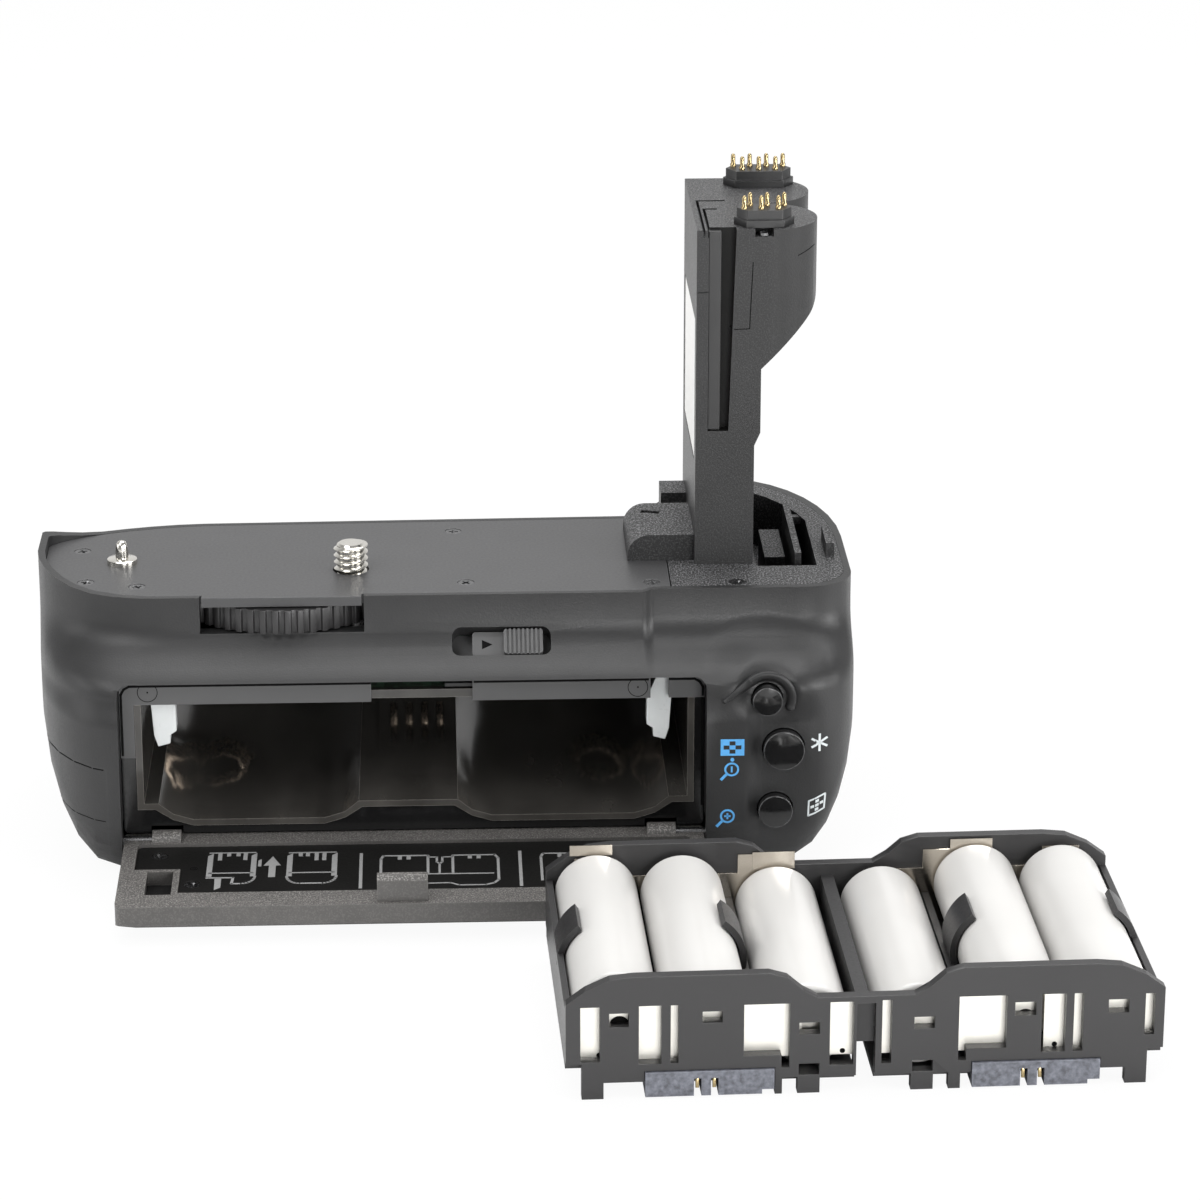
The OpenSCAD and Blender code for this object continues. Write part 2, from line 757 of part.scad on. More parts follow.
module terminal_deck() {
    fin_x = pocket_left + 7.4;
    tab_y = 3.5;
    color("#4a4a4b")
    difference() {
        union() {
            difference() {
                union() {
                    intersection() {
                        plan_slab(rim + eps, -plate_t, 0);
                        block([plate_split + 0.2, -rear_reach, -plate_t - 1], [body_right, grip_reach, 1]);
                    }
                    pocket_slab(pocket_wall, -plate_t - pocket_deep, -plate_t + eps);
                }
                pocket_slab(0, -plate_t - pocket_deep + pocket_wall, 1);
            }
            along_y(foot_rear, foot_front)
                polygon(concat([[foot_left, 0], [stalk_left, 0], [stalk_left, foot_h]],
                    [for (i = [0:8]) [foot_left + 4 - 4 * sin(11.25 * i), foot_h - 4 + 4 * cos(11.25 * i)]]));
            block([stalk_left - 4.8, 27, 0], [stalk_left, 34.4, foot_h]);
            block([fin_x, pocket_rear + 3.6, -plate_t - pocket_deep], [fin_x + 1.2, pocket_front - 14.6, 1.2]);
            block([pocket_left + 2.6, 12, -plate_t - pocket_deep], [fin_x - 1, 28, -3]);
            block([body_right - 3.9, tab_y, -eps], [body_right - 2.4, tab_y + 10, 2.6]);
            block([fin_x, 27, -1.6], [pocket_right + 1, 28.6, -0.2]);
        }
        translate([deck_screw_place[0], deck_screw_place[1], -plate_t - 1]) {
            cylinder(r = screw_core_r + eps, h = plate_t + 2);
            translate([0, 0, plate_t - screw_head_t + 0.9]) cylinder(r = screw_head_r + eps, h = 2);
        }
        translate([foot_left + 4.8, foot_rear + 13.5, foot_h]) rotate([0, 0, -18]) cube([3.6, 1.4, 4], center = true);
    }
}

// Gear outline: straight sided teeth on a pitch circle, pointing out or, for a ring, in
function tooth_angle(w, r) = w / r * 180 / PI;
function gear_points(teeth, pitch, out, start) = [
    for (i = [0:teeth - 1])
    let (mid = start + 360 * i / teeth,
        root = pitch - out * tooth_ded,
        tip = pitch + out * tooth_add,
        a_root = tooth_angle(tooth_half + tooth_slant, root),
        a_tip = tooth_angle(tooth_half - tooth_slant, tip))
    each [
        root * [cos(mid - a_root), sin(mid - a_root)], tip * [cos(mid - a_tip), sin(mid - a_tip)],
        tip * [cos(mid + a_tip), sin(mid + a_tip)], root * [cos(mid + a_root), sin(mid + a_root)]]];

// Outline of a ribbed rim: each rib is a flat topped tooth
function rib_points(ribs, r, depth) = [
    for (i = [0:ribs - 1])
    let (mid = 360 * i / ribs, step = 360 / ribs)
    each [for (p = [[-0.3, -depth], [-0.23, 0], [0.23, 0], [0.3, -depth]])
        (r + p[1]) * [cos(mid + p[0] * step), sin(mid + p[0] * step)]]];

module thumb_wheel() {
    color("#2f2f31")
    translate([wheel_x, wheel_y, wheel_low])
    difference() {
        linear_extrude(wheel_h) polygon(rib_points(wheel_ribs, wheel_r, rib_depth));
        translate([0, 0, -1]) cylinder(r = carrier_r + run_fit, h = wheel_h + 2);
        translate([0, 0, gear_t]) cylinder(r = ring_pitch + tooth_ded + 0.15, h = wheel_h - gear_t - wheel_lip);
        translate([0, 0, -1]) linear_extrude(gear_t + 1.5)
            polygon(gear_points(ring_teeth, ring_pitch, -1, gear_angle + 180 / ring_teeth));
    }
}

module wheel_carrier() {
    color("#59595b")
    difference() {
        translate([wheel_x, wheel_y, carrier_low]) cylinder(r = carrier_r, h = -plate_t - carrier_low);
        translate([0, 0, carrier_low - 1]) cylinder(r = shaft_r + run_fit, h = 6);
    }
}

module wheel_retainer() {
    color("#8a8b8e")
    difference() {
        translate([wheel_x, wheel_y, carrier_low - retainer_t]) cylinder(r = retainer_r, h = retainer_t);
        translate([0, 0, carrier_low - retainer_t - 1]) cylinder(r = shaft_r + clear, h = retainer_t + 2);
    }
}

module bearing_plate() {
    arm_w = 2 * journal_r + 2.6;
    color("#77787b")
    difference() {
        union() {
            translate([wheel_x, wheel_y, bearing_top - bearing_t])
                cylinder(r = drive_post_r, h = carrier_low - retainer_t - bearing_top + bearing_t);
            translate([0, 0, bearing_top - bearing_t]) cylinder(r = journal_r + 2.5, h = bearing_t);
            translate([wheel_x, wheel_y, bearing_top - bearing_t]) rotate([0, 0, gear_angle])
                translate([0, -arm_w / 2, 0]) cube([gear_gap, arm_w, bearing_t]);
        }
        translate([0, 0, bearing_top - bearing_t - 1]) cylinder(r = journal_r + run_fit, h = bearing_t + 2);
    }
}

module camera_screw() {
    shoulder = -plate_t + 0.1;
    relief = 0.5;
    color("#d8d5cc")
    rotate_extrude() polygon([
        [0, bearing_top - bearing_t - 0.1], [journal_r, bearing_top - bearing_t - 0.1],
        [journal_r, wheel_low - 0.2], [shaft_r, wheel_low - 0.2], [shaft_r, shoulder], [screw_r - relief, shoulder],
        [screw_r - relief, 0], [screw_r, 0], [screw_r, screw_proud - 0.6], [screw_r - 0.7, screw_proud], [0, screw_proud]]);
}

module drive_pinion() {
    color("#c2a95c")
    translate([0, 0, wheel_low])
    difference() {
        linear_extrude(gear_t - 0.1) polygon(gear_points(pinion_teeth, pinion_pitch, 1, gear_angle));
        translate([0, 0, -1]) cylinder(r = shaft_r, h = gear_t + 2);
    }
}

// Chamber profile of X and Z: a flat roof over two lobes, which fit the humps of the tray
lobe_slope = 6.3;
lobes = [[chamber_x + 2.6, chamber_mid - 10.5], [chamber_mid + 7.6, chamber_right - 3.4]];
function lobe(x0, x1, edge) = let (z0 = chamber_floor - edge, z1 = z0 + lobe_rise) [
    [x0 - edge / 2, z1], [x0 + 2.6, z0 + lobe_rise * 0.35], [x0 + lobe_slope, z0],
    [x1 - lobe_slope, z0], [x1 - 2.6, z0 + lobe_rise * 0.35], [x1 + edge / 2, z1]];
module chamber_profile(edge) {
    polygon(concat(
        [[chamber_x - edge, chamber_top + edge], [chamber_x - edge, chamber_floor - edge + lobe_rise]],
        lobe(lobes[0][0], lobes[0][1], edge),
        lobe(lobes[1][0], lobes[1][1], edge),
        [[chamber_right + edge, chamber_floor - edge + lobe_rise], [chamber_right + edge, chamber_top + edge]]));
}
// Part of the profile below the top bar, which the liner's lip fills in the mouth frame
mouth_lip = 1.2;
module mouth_profile(edge) {
    intersection() {
        chamber_profile(edge);
        translate([chamber_x - jamb_left, hinge_z])
            square([open_right - open_left, chamber_top - eps - hinge_z]);
    }
}
module mirror_lever() {
    translate([2 * lever_mid, 0, 0]) mirror([1, 0, 0]) children();
}
module lever_slot() {
    block([chamber_x - liner - 0.6, chamber_y - eps, chamber_top - 0.6],
        [lever_x + 6.6, lever_y + lever_t + clear, chamber_top + liner + 1]);
    block([chamber_x - liner - 0.6, chamber_y - eps, lever_z - 2.6],
        [chamber_x + 0.6, lever_y + lever_t + clear, chamber_top + 1]);
}

module battery_chamber() {
    foot = [3, 3, chamber_floor - liner - body_bottom - wall];
    color("#151516")
    difference() {
        union() {
            along_y(chamber_y, chamber_end + liner) chamber_profile(liner);
            along_y(frame_y, chamber_y + eps) mouth_profile(mouth_lip);
            for (l = lobes, x = [l[0] + lobe_slope + 0.6, l[1] - lobe_slope - foot[0] - 0.6])
                for (y = [chamber_y + 8, chamber_end - 10])
                    translate([x, y, body_bottom + wall]) cube([foot[0], foot[1], foot[2] + eps]);
            for (x = [chamber_x + 10, chamber_right - 14])
                for (y = [-5, 26])
                    translate([x, y, chamber_top + liner - eps]) cylinder(r = 2, h = 1.6 + eps);
        }
        along_y(frame_y - 1, chamber_end) chamber_profile(0);
        lever_slot();
        mirror_lever() lever_slot();
    }
}

// The top bar and the upper left post stand proud of the rest of the frame
frame_step = 0.5;
step_z = chamber_top - 10.4;
module mouth_frame() {
    low = hinge_z + 1;
    post = chamber_x - mouth_lip - eps;
    color("#464749")
    difference() {
        along_y(frame_y, chamber_y)
            polygon(box_points(open_left + 0.1, low, open_right - 0.1, open_top - 0.1, 1, opening_r));
        along_y(frame_y - 1, chamber_y + 1) mouth_profile(mouth_lip + eps);
        along_y(frame_y - 1, frame_y + frame_step)
            polygon([[open_left, low - 1], [open_right, low - 1], [open_right, chamber_top - eps],
                [post, chamber_top - eps], [post, step_z], [open_left, step_z]]);
        for (x = [open_left + knuckle_in, open_right - knuckle_in - knuckle_w])
            block([x - clear, frame_y - 1, low - 1], [x + knuckle_w + clear, chamber_y + 1, hinge_z + knuckle_r + clear]);
        mirror_lever() block([lever_x + 1.5, frame_y - 1, chamber_top - 1],
            [lever_x + 4.8, chamber_y + 1, open_top - 1.2]);
        block([notch_left, frame_y - 1, chamber_top - 1], [notch_right, chamber_y + 1, open_top + 1]);
        rod_y(lever_x, lever_z, lever_pin_r, frame_y + 0.6, chamber_y + 1);
        mirror_lever() rod_y(lever_x, lever_z, lever_pin_r, frame_y + 0.6, chamber_y + 1);
    }
}

module lever_pins() {
    color("#b8b8b6") {
        rod_y(lever_x, lever_z, lever_pin_r, frame_y + 0.6, lever_y + lever_t + 0.2);
        mirror_lever() rod_y(lever_x, lever_z, lever_pin_r, frame_y + 0.6, lever_y + lever_t + 0.2);
    }
}

module lock_lever() {
    difference() {
        union() {
            rod_y(lever_x, lever_z, lever_pin_r + 0.9, lever_y, lever_y + lever_t);
            along_y(lever_y, lever_y + lever_t) polygon([
                [lever_x, lever_z - 1.8], [lever_x, lever_z + 1.8], [lever_x + 3.6, lever_z + 1.2],
                [lever_x + 5.4, lever_z - 3], [lever_x + 5.4, lever_z - 8.2], [lever_x + 4.2, lever_z - 9],
                [lever_x + 4.2, lever_z - 10.6], [lever_x + 2, lever_z - 11.2], [lever_x + 1.3, lever_z - 9],
                [lever_x + 0.9, lever_z - 3]]);
        }
        rod_y(lever_x, lever_z, lever_pin_r + run_fit, lever_y - 1, lever_y + lever_t + 1);
    }
}
module lock_lever_left() {
    color("#eef0ef") lock_lever();
}
module lock_lever_right() {
    color("#eef0ef") mirror_lever() lock_lever();
}

// Contact block on the chamber's end wall, with its sprung leaves
contact_w = 14.5;
contact_t = 3;
leaf_places = [-4.5, -1.5, 1.5, 4.5];
module contact_block() {
    color("#232324")
    difference() {
        along_y(chamber_end - contact_t, chamber_end)
            polygon(box_points(chamber_mid - contact_w / 2, chamber_floor + lobe_rise + 0.2,
                chamber_mid + contact_w / 2, chamber_top - 4, 0.6, 1.5));
        for (p = leaf_places)
            block([chamber_mid + p - 0.8, chamber_end - contact_t - 1, chamber_floor + lobe_rise + 3],
                [chamber_mid + p + 0.8, chamber_end - 1, chamber_floor + lobe_rise + 12]);
    }
}
module chamber_contacts() {
    y0 = chamber_end - contact_t;
    z0 = chamber_floor + lobe_rise + 3.2;
    color("#c9a24a")
    for (p = leaf_places) translate([chamber_mid + p - 0.6, 0, 0])
        along_x(0, 1.2) polygon([
            [chamber_end - 1.4, z0], [chamber_end - 1, z0], [chamber_end - 1, z0 + 8.4],
            [chamber_end - 1.4, z0 + 8.4], [y0 - 0.7, z0 + 4.6], [y0 - 0.7, z0 + 3.8]]);
}

// Eject springs: one unbroken wire along a helix, with 8 rings to a turn and straight ends
spring_rings = 8;
spring_sides = 6;
spring_taper = 0.8;
function spring_center(k) = let (n = spring_turns * spring_rings, u = k / n, a = 360 * k / spring_rings,
    r = spring_r - spring_taper * u)
    [r * cos(a), -spring_wire - (spring_len - 2 * spring_wire) * u, r * sin(a)];
spring_path = concat(
    [[spring_r, 0, 0]],
    [for (k = [0:spring_turns * spring_rings]) spring_center(k)],
    [[spring_r - spring_taper, -spring_len, 0]]);
function unit(v) = v / norm(v);
function path_way(i) = unit(spring_path[min(i + 1, len(spring_path) - 1)] - spring_path[max(i - 1, 0)]);
module spring_tube() {
    n = len(spring_path);
    points = [for (i = [0:n - 1])
        let (t = i == 0 || i == n - 1 ? [0, -1, 0] : path_way(i),
            out = unit([spring_path[i][0], 0, spring_path[i][2]]),
            side = unit(cross(t, out)), up = cross(side, t))
        for (j = [0:spring_sides - 1])
            let (a = 360 * j / spring_sides)
            spring_path[i] + spring_wire / 2 * (cos(a) * up + sin(a) * side)];
    sides = [for (i = [0:n - 2]) for (j = [0:spring_sides - 1])
        let (a = i * spring_sides + j, b = i * spring_sides + (j + 1) % spring_sides)
        each [[a, b, b + spring_sides], [a, b + spring_sides, a + spring_sides]]];
    end = (n - 1) * spring_sides;
    first = [for (j = [1:spring_sides - 2]) [0, j + 1, j]];
    last = [for (j = [1:spring_sides - 2]) [end, end + j, end + j + 1]];
    polyhedron(points, concat(sides, first, last));
}
spring_gap = min([for (i = [0:len(spring_path) - 1]) for (j = [i + 5:1:len(spring_path) - 1])
    norm(spring_path[i] - spring_path[j]) - spring_wire]);
echo(least_gap_between_spring_turns = spring_gap);
spring_z = chamber_floor + 11.6;
module eject_spring_left() {
    color("#b5835a") translate([chamber_mid - 36.2, chamber_end, spring_z]) spring_tube();
}
module eject_spring_right() {
    color("#b5835a") translate([chamber_mid + 33.6, chamber_end, spring_z]) spring_tube();
}

module main_board() {
    z = chamber_top + liner + 1.6;
    color("#1f5b3c")
    difference() {
        block([chamber_x + 5, -9, z], [chamber_right - 9, 30, z + 1.4]);
        for (x = [chamber_x + 10, chamber_right - 14])
            for (y = [-5, 26])
                translate([x, y, z - 1]) cylinder(r = 1, h = 4);
    }
}

module release_slider() {
    pad_ribs = 8;
    face = 0.8;
    color("#6a6a6c") {
        difference() {
            at_slot() {
                along_y(face, tongue_depth + eps)
                    polygon(box_points(slide_left, -slide_w / 2, slide_left + arrow_len + pad_len, slide_w / 2, 0.6, 0.6));
                along_y(-0.6, face + eps)
                    polygon(box_points(slide_left + arrow_len, -slide_w / 2, slide_left + arrow_len + pad_len,
                        slide_w / 2, 0.6, 0.6));
                block([slide_left - 4, tongue_depth, -slide_w / 2 - 0.8],
                    [slide_left + arrow_len + pad_len + 3, tongue_depth + tongue_t, slide_w / 2 + 0.8]);
            }
            at_slot() for (i = [0:pad_ribs - 1])
                block([slide_left + arrow_len + 0.55 + i * 0.8, -1.2, -slide_w / 2 - 1],
                    [slide_left + arrow_len + 0.95 + i * 0.8, -0.2, slide_w / 2 + 1]);
        }
        block([slide_left + 1, slide_y + 1.9, latch_top], [slide_left + 8, slide_y + 4.2, slide_z - 2.6]);
    }
}

module latch_bar() {
    bar_y = chamber_y + clear;
    finger_left = hook_right + slide_lock + clear;
    color("#9a9b9e") {
        block([slide_left + 1, bar_y, latch_top - 1.2], [slide_left + 8, slide_y + 4.2, latch_top]);
        block([finger_left, bar_y, latch_low], [slide_left + 8, bar_y + 1.6, latch_top - 1.2]);
    }
}

// Rear buttons: domed caps with a retaining flange behind the wall
module rear_button(i) {
    b = rear_buttons[i];
    crown = 0.5;
    head = button_proud + wall + 0.1;
    translate([b[0], -rear_reach + wall + 0.1, b[1]]) rotate([90, 0, 0])
    rotate_extrude() polygon([
        [0, -flange_t], [b[2] + button_flange, -flange_t], [b[2] + button_flange, 0], [b[2], 0],
        [b[2], head - 0.7], [b[2] - 0.25, head - 0.3], [b[2] - 0.7, head - 0.05],
        [b[2] / 2, head + crown * 0.6], [0, head + crown]]);
}
module button_top() {
    color("#1c1c1d") rear_button(0);
}
module button_middle() {
    color("#1c1c1d") rear_button(1);
}
module button_low() {
    color("#1c1c1d") rear_button(2);
}

module board_plan(edge) {
    polygon(box_points(board_left + edge, board_low + edge, board_right - edge, board_high - edge, 1, 1));
}
module button_pad() {
    color("#8d8f92")
    difference() {
        along_y(pad_y, pad_y + pad_t) board_plan(0.6);
        for (p = post_places) rod_y(p[0], p[1], post_r + clear, pad_y - 1, pad_y + pad_t + 1);
    }
}
module button_board() {
    color("#1f5b3c")
    along_y(board_y, board_y + board_t) board_plan(0);
}

// Portrait shutter group
module corner_button(r, proud, below) {
    flange = 1;
    rotate_extrude() polygon([
        [0, -below - flange], [r + 0.9, -below - flange], [r + 0.9, -below], [r, -below], [r, proud - 0.8],
        [r - 0.4, proud - 0.25], [r * 0.75, proud], [0, proud - 0.35]]);
}
module shutter_button() {
    color("#1b1b1c") at_corner(shutter_z) corner_button(shutter_r, shutter_proud, corner_wall);
}
module function_button() {
    color("#1b1b1c") at_corner(function_z) corner_button(function_r, 1.2, corner_wall);
}
module power_lever() {
    color("#1d1d1e")
    at_corner(shutter_z)
        difference() {
            union() {
                translate([0, 0, clear]) cylinder(r = shutter_r + ring_gap + power_ring, h = ring_h);
                rotate([0, 0, 160]) translate([-1.3, shutter_r + 1, clear + 0.4]) cube([2.6, power_ring + 2, ring_h]);
            }
            cylinder(r = shutter_r + ring_gap, h = 10);
        }
}
module dial_axle() {
    color("#a9a9a7")
    rod_y(dial_x, dial_z, axle_r, dial_y - dial_w / 2 - 3.5, dial_y + dial_w / 2 + 3.5);
}
module control_dial() {
    color("#262627")
    translate([dial_x, dial_y + dial_w / 2, dial_z]) rotate([90, 0, 0])
    difference() {
        linear_extrude(dial_w) polygon(rib_points(dial_ribs, dial_r, rib_depth));
        translate([0, 0, -1]) cylinder(r = axle_r + run_fit, h = dial_w + 2);
    }
}

// Stalk: the camera's battery shape, cut away below its lobes
module stalk_profile() {
    bend = 6;
    slope = 49;
    lobe_z = 47.6;
    polygon(concat(
        [[stalk_left, 0], [stalk_left + stalk_foot, 0], [stalk_left + stalk_foot, 22.9], [stalk_left + stalk_neck, 25.4],
         [stalk_left + stalk_neck, 37.5]],
        [for (i = [0:5]) let (a = -slope + slope * i / 5)
            [stalk_left + stalk_w - bend + bend * cos(a), lobe_z + 3 + bend * sin(a)]],
        [[stalk_left + stalk_w, stalk_h], [stalk_left, stalk_h]]));
}
module stalk_body() {
    color("#454547")
    difference() {
        intersection() {
            along_y(stalk_rear, stalk_back) stalk_profile();
            union() {
                block([stalk_left, stalk_rear, 0], [lobe_x, stalk_back, stalk_h]);
                for (y = [lobe_rear, lobe_front])
                    translate([lobe_x, y, 0]) cylinder(r = lobe_r, h = stalk_h);
            }
        }
        along_y(stalk_rear - 1, stalk_rear + groove_d)
            polygon([[groove_x, groove_low], [groove_x + groove_w, groove_low],
                [groove_x + groove_w + groove_flare, stalk_h + 1], [groove_x, stalk_h + 1]]);
        block([stalk_left - 1, stalk_rear + 4, label_low], [stalk_left + label_t, stalk_back - 3, label_high]);
        for (l = [[1, 21.6, 6.4], [1.9, 15.6, 4.6]]) {
            block([stalk_left + l[0], stalk_rear - 1, stalk_h - 1.4], [stalk_left + l[0] + 0.5, stalk_rear + l[1], stalk_h + 1]);
            block([stalk_left + l[0], stalk_rear + l[1] - 0.8, stalk_h - 1.4], [stalk_left + l[2], stalk_rear + l[1], stalk_h + 1]);
        }
        block([stalk_screw_place[0] - 1.7, stalk_rear - 1, stalk_h - stalk_screw_drop - 0.6],
            [stalk_screw_place[0] + 1.7, stalk_rear + 1.3, stalk_h + 1]);
        translate([stalk_screw_place[0], stalk_screw_place[1], stalk_h - stalk_screw_drop - 0.6])
            cylinder(r = 1.7, h = 3);
        translate([stalk_screw_place[0], stalk_screw_place[1], stalk_h - stalk_screw_drop - 4])
            cylinder(r = 0.6 + eps, h = 5);
        block([stalk_left - 1, stalk_rear - 1, 52], [stalk_left + 2, stalk_rear + 0.3, 52.3]);
    }
}
module stalk_screw() {
    color("#77787a")
    translate([stalk_screw_place[0], stalk_screw_place[1], stalk_h - stalk_screw_drop]) {
        translate([0, 0, -0.6]) cylinder(r = 1.1, h = 0.6);
        translate([0, 0, -4]) cylinder(r = 0.6, h = 4);
    }
}
module stalk_rail() {
    color("#3d3d3f")
    block([groove_x, stalk_rear + 0.7, groove_low], [groove_x + groove_w * 0.6, stalk_rear + groove_d, stalk_h - 0.4]);
}
module stalk_label() {
    color("#eceae4")
    block([stalk_left + 0.1, stalk_rear + 4.1, label_low + 0.1], [stalk_left + label_t, stalk_back - 3.1, label_high - 0.1]);
}

// Contact blocks on the lobes: six sided, with a foot and two rows of pins
conn_h = 3.1;
conn_foot = 1.4;
pin_step = 3.1;
pin_row = 1.15;
module connector(half, depth) {
    for (s = [[0.5, 0, conn_foot], [0, 0, conn_h]])
        linear_extrude(s[2]) polygon([
            [-half - s[0], 0], [-half + 1.8 - s[0] / 2, -depth - s[0]], [half - 1.8 + s[0] / 2, -depth - s[0]],
            [half + s[0], 0], [half - 1.8 + s[0] / 2, depth + s[0]], [-half + 1.8 - s[0] / 2, depth + s[0]]]);
}
module contact_pin() {
    cylinder(r = pin_r, h = pin_h - pin_r);
    translate([0, 0, pin_h - pin_r]) sphere(r = pin_r);
}
module pin_row_of(count, shift) {
    for (i = [0:count - 1]) translate([(i - (count - 1) / 2) * pin_step + shift, 0, 0]) contact_pin();
}
module rear_connector() {
    color("#2a2a2b") translate(rear_conn) connector(5, 2.6);
}
module front_connector() {
    color("#2a2a2b") translate(front_conn) connector(6.1, 2.8);
}
module rear_pins() {
    color("#cfa650") translate(rear_conn + [0, 0, conn_h]) {
        translate([0, -pin_row, 0]) pin_row_of(3, -0.6);
        translate([0, pin_row, 0]) pin_row_of(3, 0.6);
    }
}
module front_pins() {
    color("#cfa650") translate(front_conn + [0, 0, conn_h]) {
        translate([0, -pin_row, 0]) pin_row_of(3, 0);
        translate([0, pin_row, 0]) pin_row_of(4, 0);
    }
}

// Door: a slice of the housing's own form, drawn shut and swung open about its pins
module swing() {
    translate([0, hinge_y, hinge_z]) rotate([door_open, 0, 0]) translate([0, -hinge_y, -hinge_z]) children();
}
inner_left = open_left + 2.9;
inner_right = open_right - 2.9;
inner_low = hinge_z + 2.9;
inner_high = open_top - 6.6;
inner_deep = 1.6;
plate_in = 1;
pin_len = knuckle_in + knuckle_w - 1;
socket_low = [inner_left + 1.2, inner_high - 10.6];
socket_high = [inner_left + 8.3, inner_high + 2];
socket_rim = 1.2;
socket_deep = 2.6;
door_screw_places = [
    [inner_left + 4.1, inner_low + 4], [inner_left + 10.6, inner_high - 5],
    [inner_right - 4.1, inner_low + 4], [inner_right - 10.6, inner_high - 5]];
module inner_outline(edge) {
    difference() {
        polygon(box_points(inner_left - edge, inner_low - edge, inner_right + edge, inner_high + edge, 1.2, 1.2));
        translate([inner_left - 1, socket_low[1] + edge])
            square([socket_high[0] - inner_left + 1 - edge, inner_high - socket_low[1] + 1]);
    }
}
module skin_outline(edge) {
    polygon(box_points(open_left + 2.6 - edge, chamber_floor - 1.2 - edge, open_right - 2.6 + edge,
        shelf_low - 1 + edge, 3, 3));
}
module door_panel() {
    color("#514f4c")
    swing()
    difference() {
        union() {
            intersection() {
                body_form(0);
                along_y(-rear_reach - 1, door_in) door_outline(-door_gap);
            }
            rod_x(hinge_y, hinge_z, knuckle_r, open_left + knuckle_in, open_left + knuckle_in + knuckle_w);
            rod_x(hinge_y, hinge_z, knuckle_r, open_right - knuckle_in - knuckle_w, open_right - knuckle_in);
        }
        along_y(door_in - inner_deep, door_in + 1) inner_outline(eps);
        block([socket_low[0] + socket_rim, door_in - socket_deep, socket_low[1] + socket_rim],
            [socket_high[0] - socket_rim, door_in + 1, socket_high[1] - socket_rim]);
        along_y(-rear_reach - 1, -rear_reach + 0.8) skin_outline(eps);
        rod_x(hinge_y, hinge_z, hinge_r + run_fit, open_left - 1, open_left + pin_len + clear);
        rod_x(hinge_y, hinge_z, hinge_r + run_fit, open_right - pin_len - clear, open_right + 1);
    }
}
module door_inner_plate() {
    color("#1d1c1c")
    swing()
    difference() {
        along_y(door_in - inner_deep, door_in - inner_deep + plate_in) inner_outline(0);
        for (p = door_screw_places) rod_y(p[0], p[1], screw_head_r + eps, door_in - 3, door_in + 1);
    }
}
module door_screws() {
    color("#77787a")
    swing()
    for (p = door_screw_places) rod_y(p[0], p[1], screw_head_r, door_in - inner_deep, door_in - 0.7);
}
module door_skin() {
    color("#232324")
    swing() along_y(-rear_reach - 0.3, -rear_reach + 0.8) skin_outline(0);
}
module door_hook() {
    color("#6f7072")
    swing()
    along_x(hook_left, hook_right) polygon([
        [door_in, hook_foot], [door_in, hook_high], [frame_y + 3.6, hook_high], [frame_y + 4.4, hook_high - 0.8],
        [frame_y + 4.4, hook_low], [frame_y + 3, hook_low], [frame_y + 2, hook_low + 0.6], [door_in + 0.4, hook_low + 0.6]]);
}
module hinge_pins() {
    color("#b4b4b2") {
        rod_x(hinge_y, hinge_z, hinge_r, open_left - 1.9, open_left + pin_len);
        rod_x(hinge_y, hinge_z, hinge_r, open_right - pin_len, open_right + 1.9);
    }
}

// Cell tray, placed on the floor in front of the door
module at_tray() {
    translate([tray_x, -tray_y, 0]) rotate([0, 0, tray_yaw]) children();
}
function both_sides(half) = concat(half, [for (i = [len(half) - 1:-1:0]) [-half[i][0], half[i][1]]]);
function cell_axis(i) = i == 2 || i == 3 ? inner_axis : outer_axis;

// Retaining finger: a curved arm over the shoulder of one cell
module finger(i, from, to) {
    translate([cell_offsets[i], -cell_len / 2 + finger_w / 2, cell_axis(i)]) rotate([90, 0, 0])
    rotate([0, 0, from]) rotate_extrude(angle = to - from)
        translate([cell_r + clear, 0]) square([finger_t, finger_w]);
}
module tray_frame() {
    rib_top = inner_axis + 4.6;
    color("#2d2d2e")
    at_tray()
    difference() {
        union() {
            along_y(near_in, far_in) polygon(both_sides([
                [0, rib_top], [tray_wall, rib_top], [tray_wall, inner_floor], [step_x - 1.2, inner_floor],
                [step_x - 1.2, outer_axis - 2], [step_x, outer_axis - 2], [step_x, outer_floor],
                [tray_half - tray_wall, outer_floor], [tray_half - tray_wall, outer_axis + 2],
                [tray_half, outer_axis + 2], [tray_half, outer_floor - tray_floor], [step_x, outer_floor - tray_floor],
                [step_x, inner_floor - tray_floor], [0, inner_floor - tray_floor]]));
            finger(0, 125, 180);
            finger(5, 0, 55);
            finger(1, -14, 55);
            finger(4, 125, 194);
            block([eps - mid_slot, near_in, plate_low + mid_open - 1], [mid_slot - eps, near_in + 2, rib_top]);
        }
        block([-mid_slot, near_in - 1, floor_z], [mid_slot, near_in + mid_open_d, plate_low + mid_open]);
        for (s = near_strip_list) strip(s[0] - eps, s[1] + eps, near_in - eps, strip_t + 0.2);
        for (s = far_strip_list) strip(s[0] - eps, s[1] + eps, far_in - strip_t - 0.15, strip_t + 0.2);
        for (x = terminal_places)
            block([x - terminal_w / 2 - 0.1, near_in - 1, floor_z], [x + terminal_w / 2 + 0.1,
                near_out - 0.3 + terminal_d, terminal_z + 0.1]);
    }
}

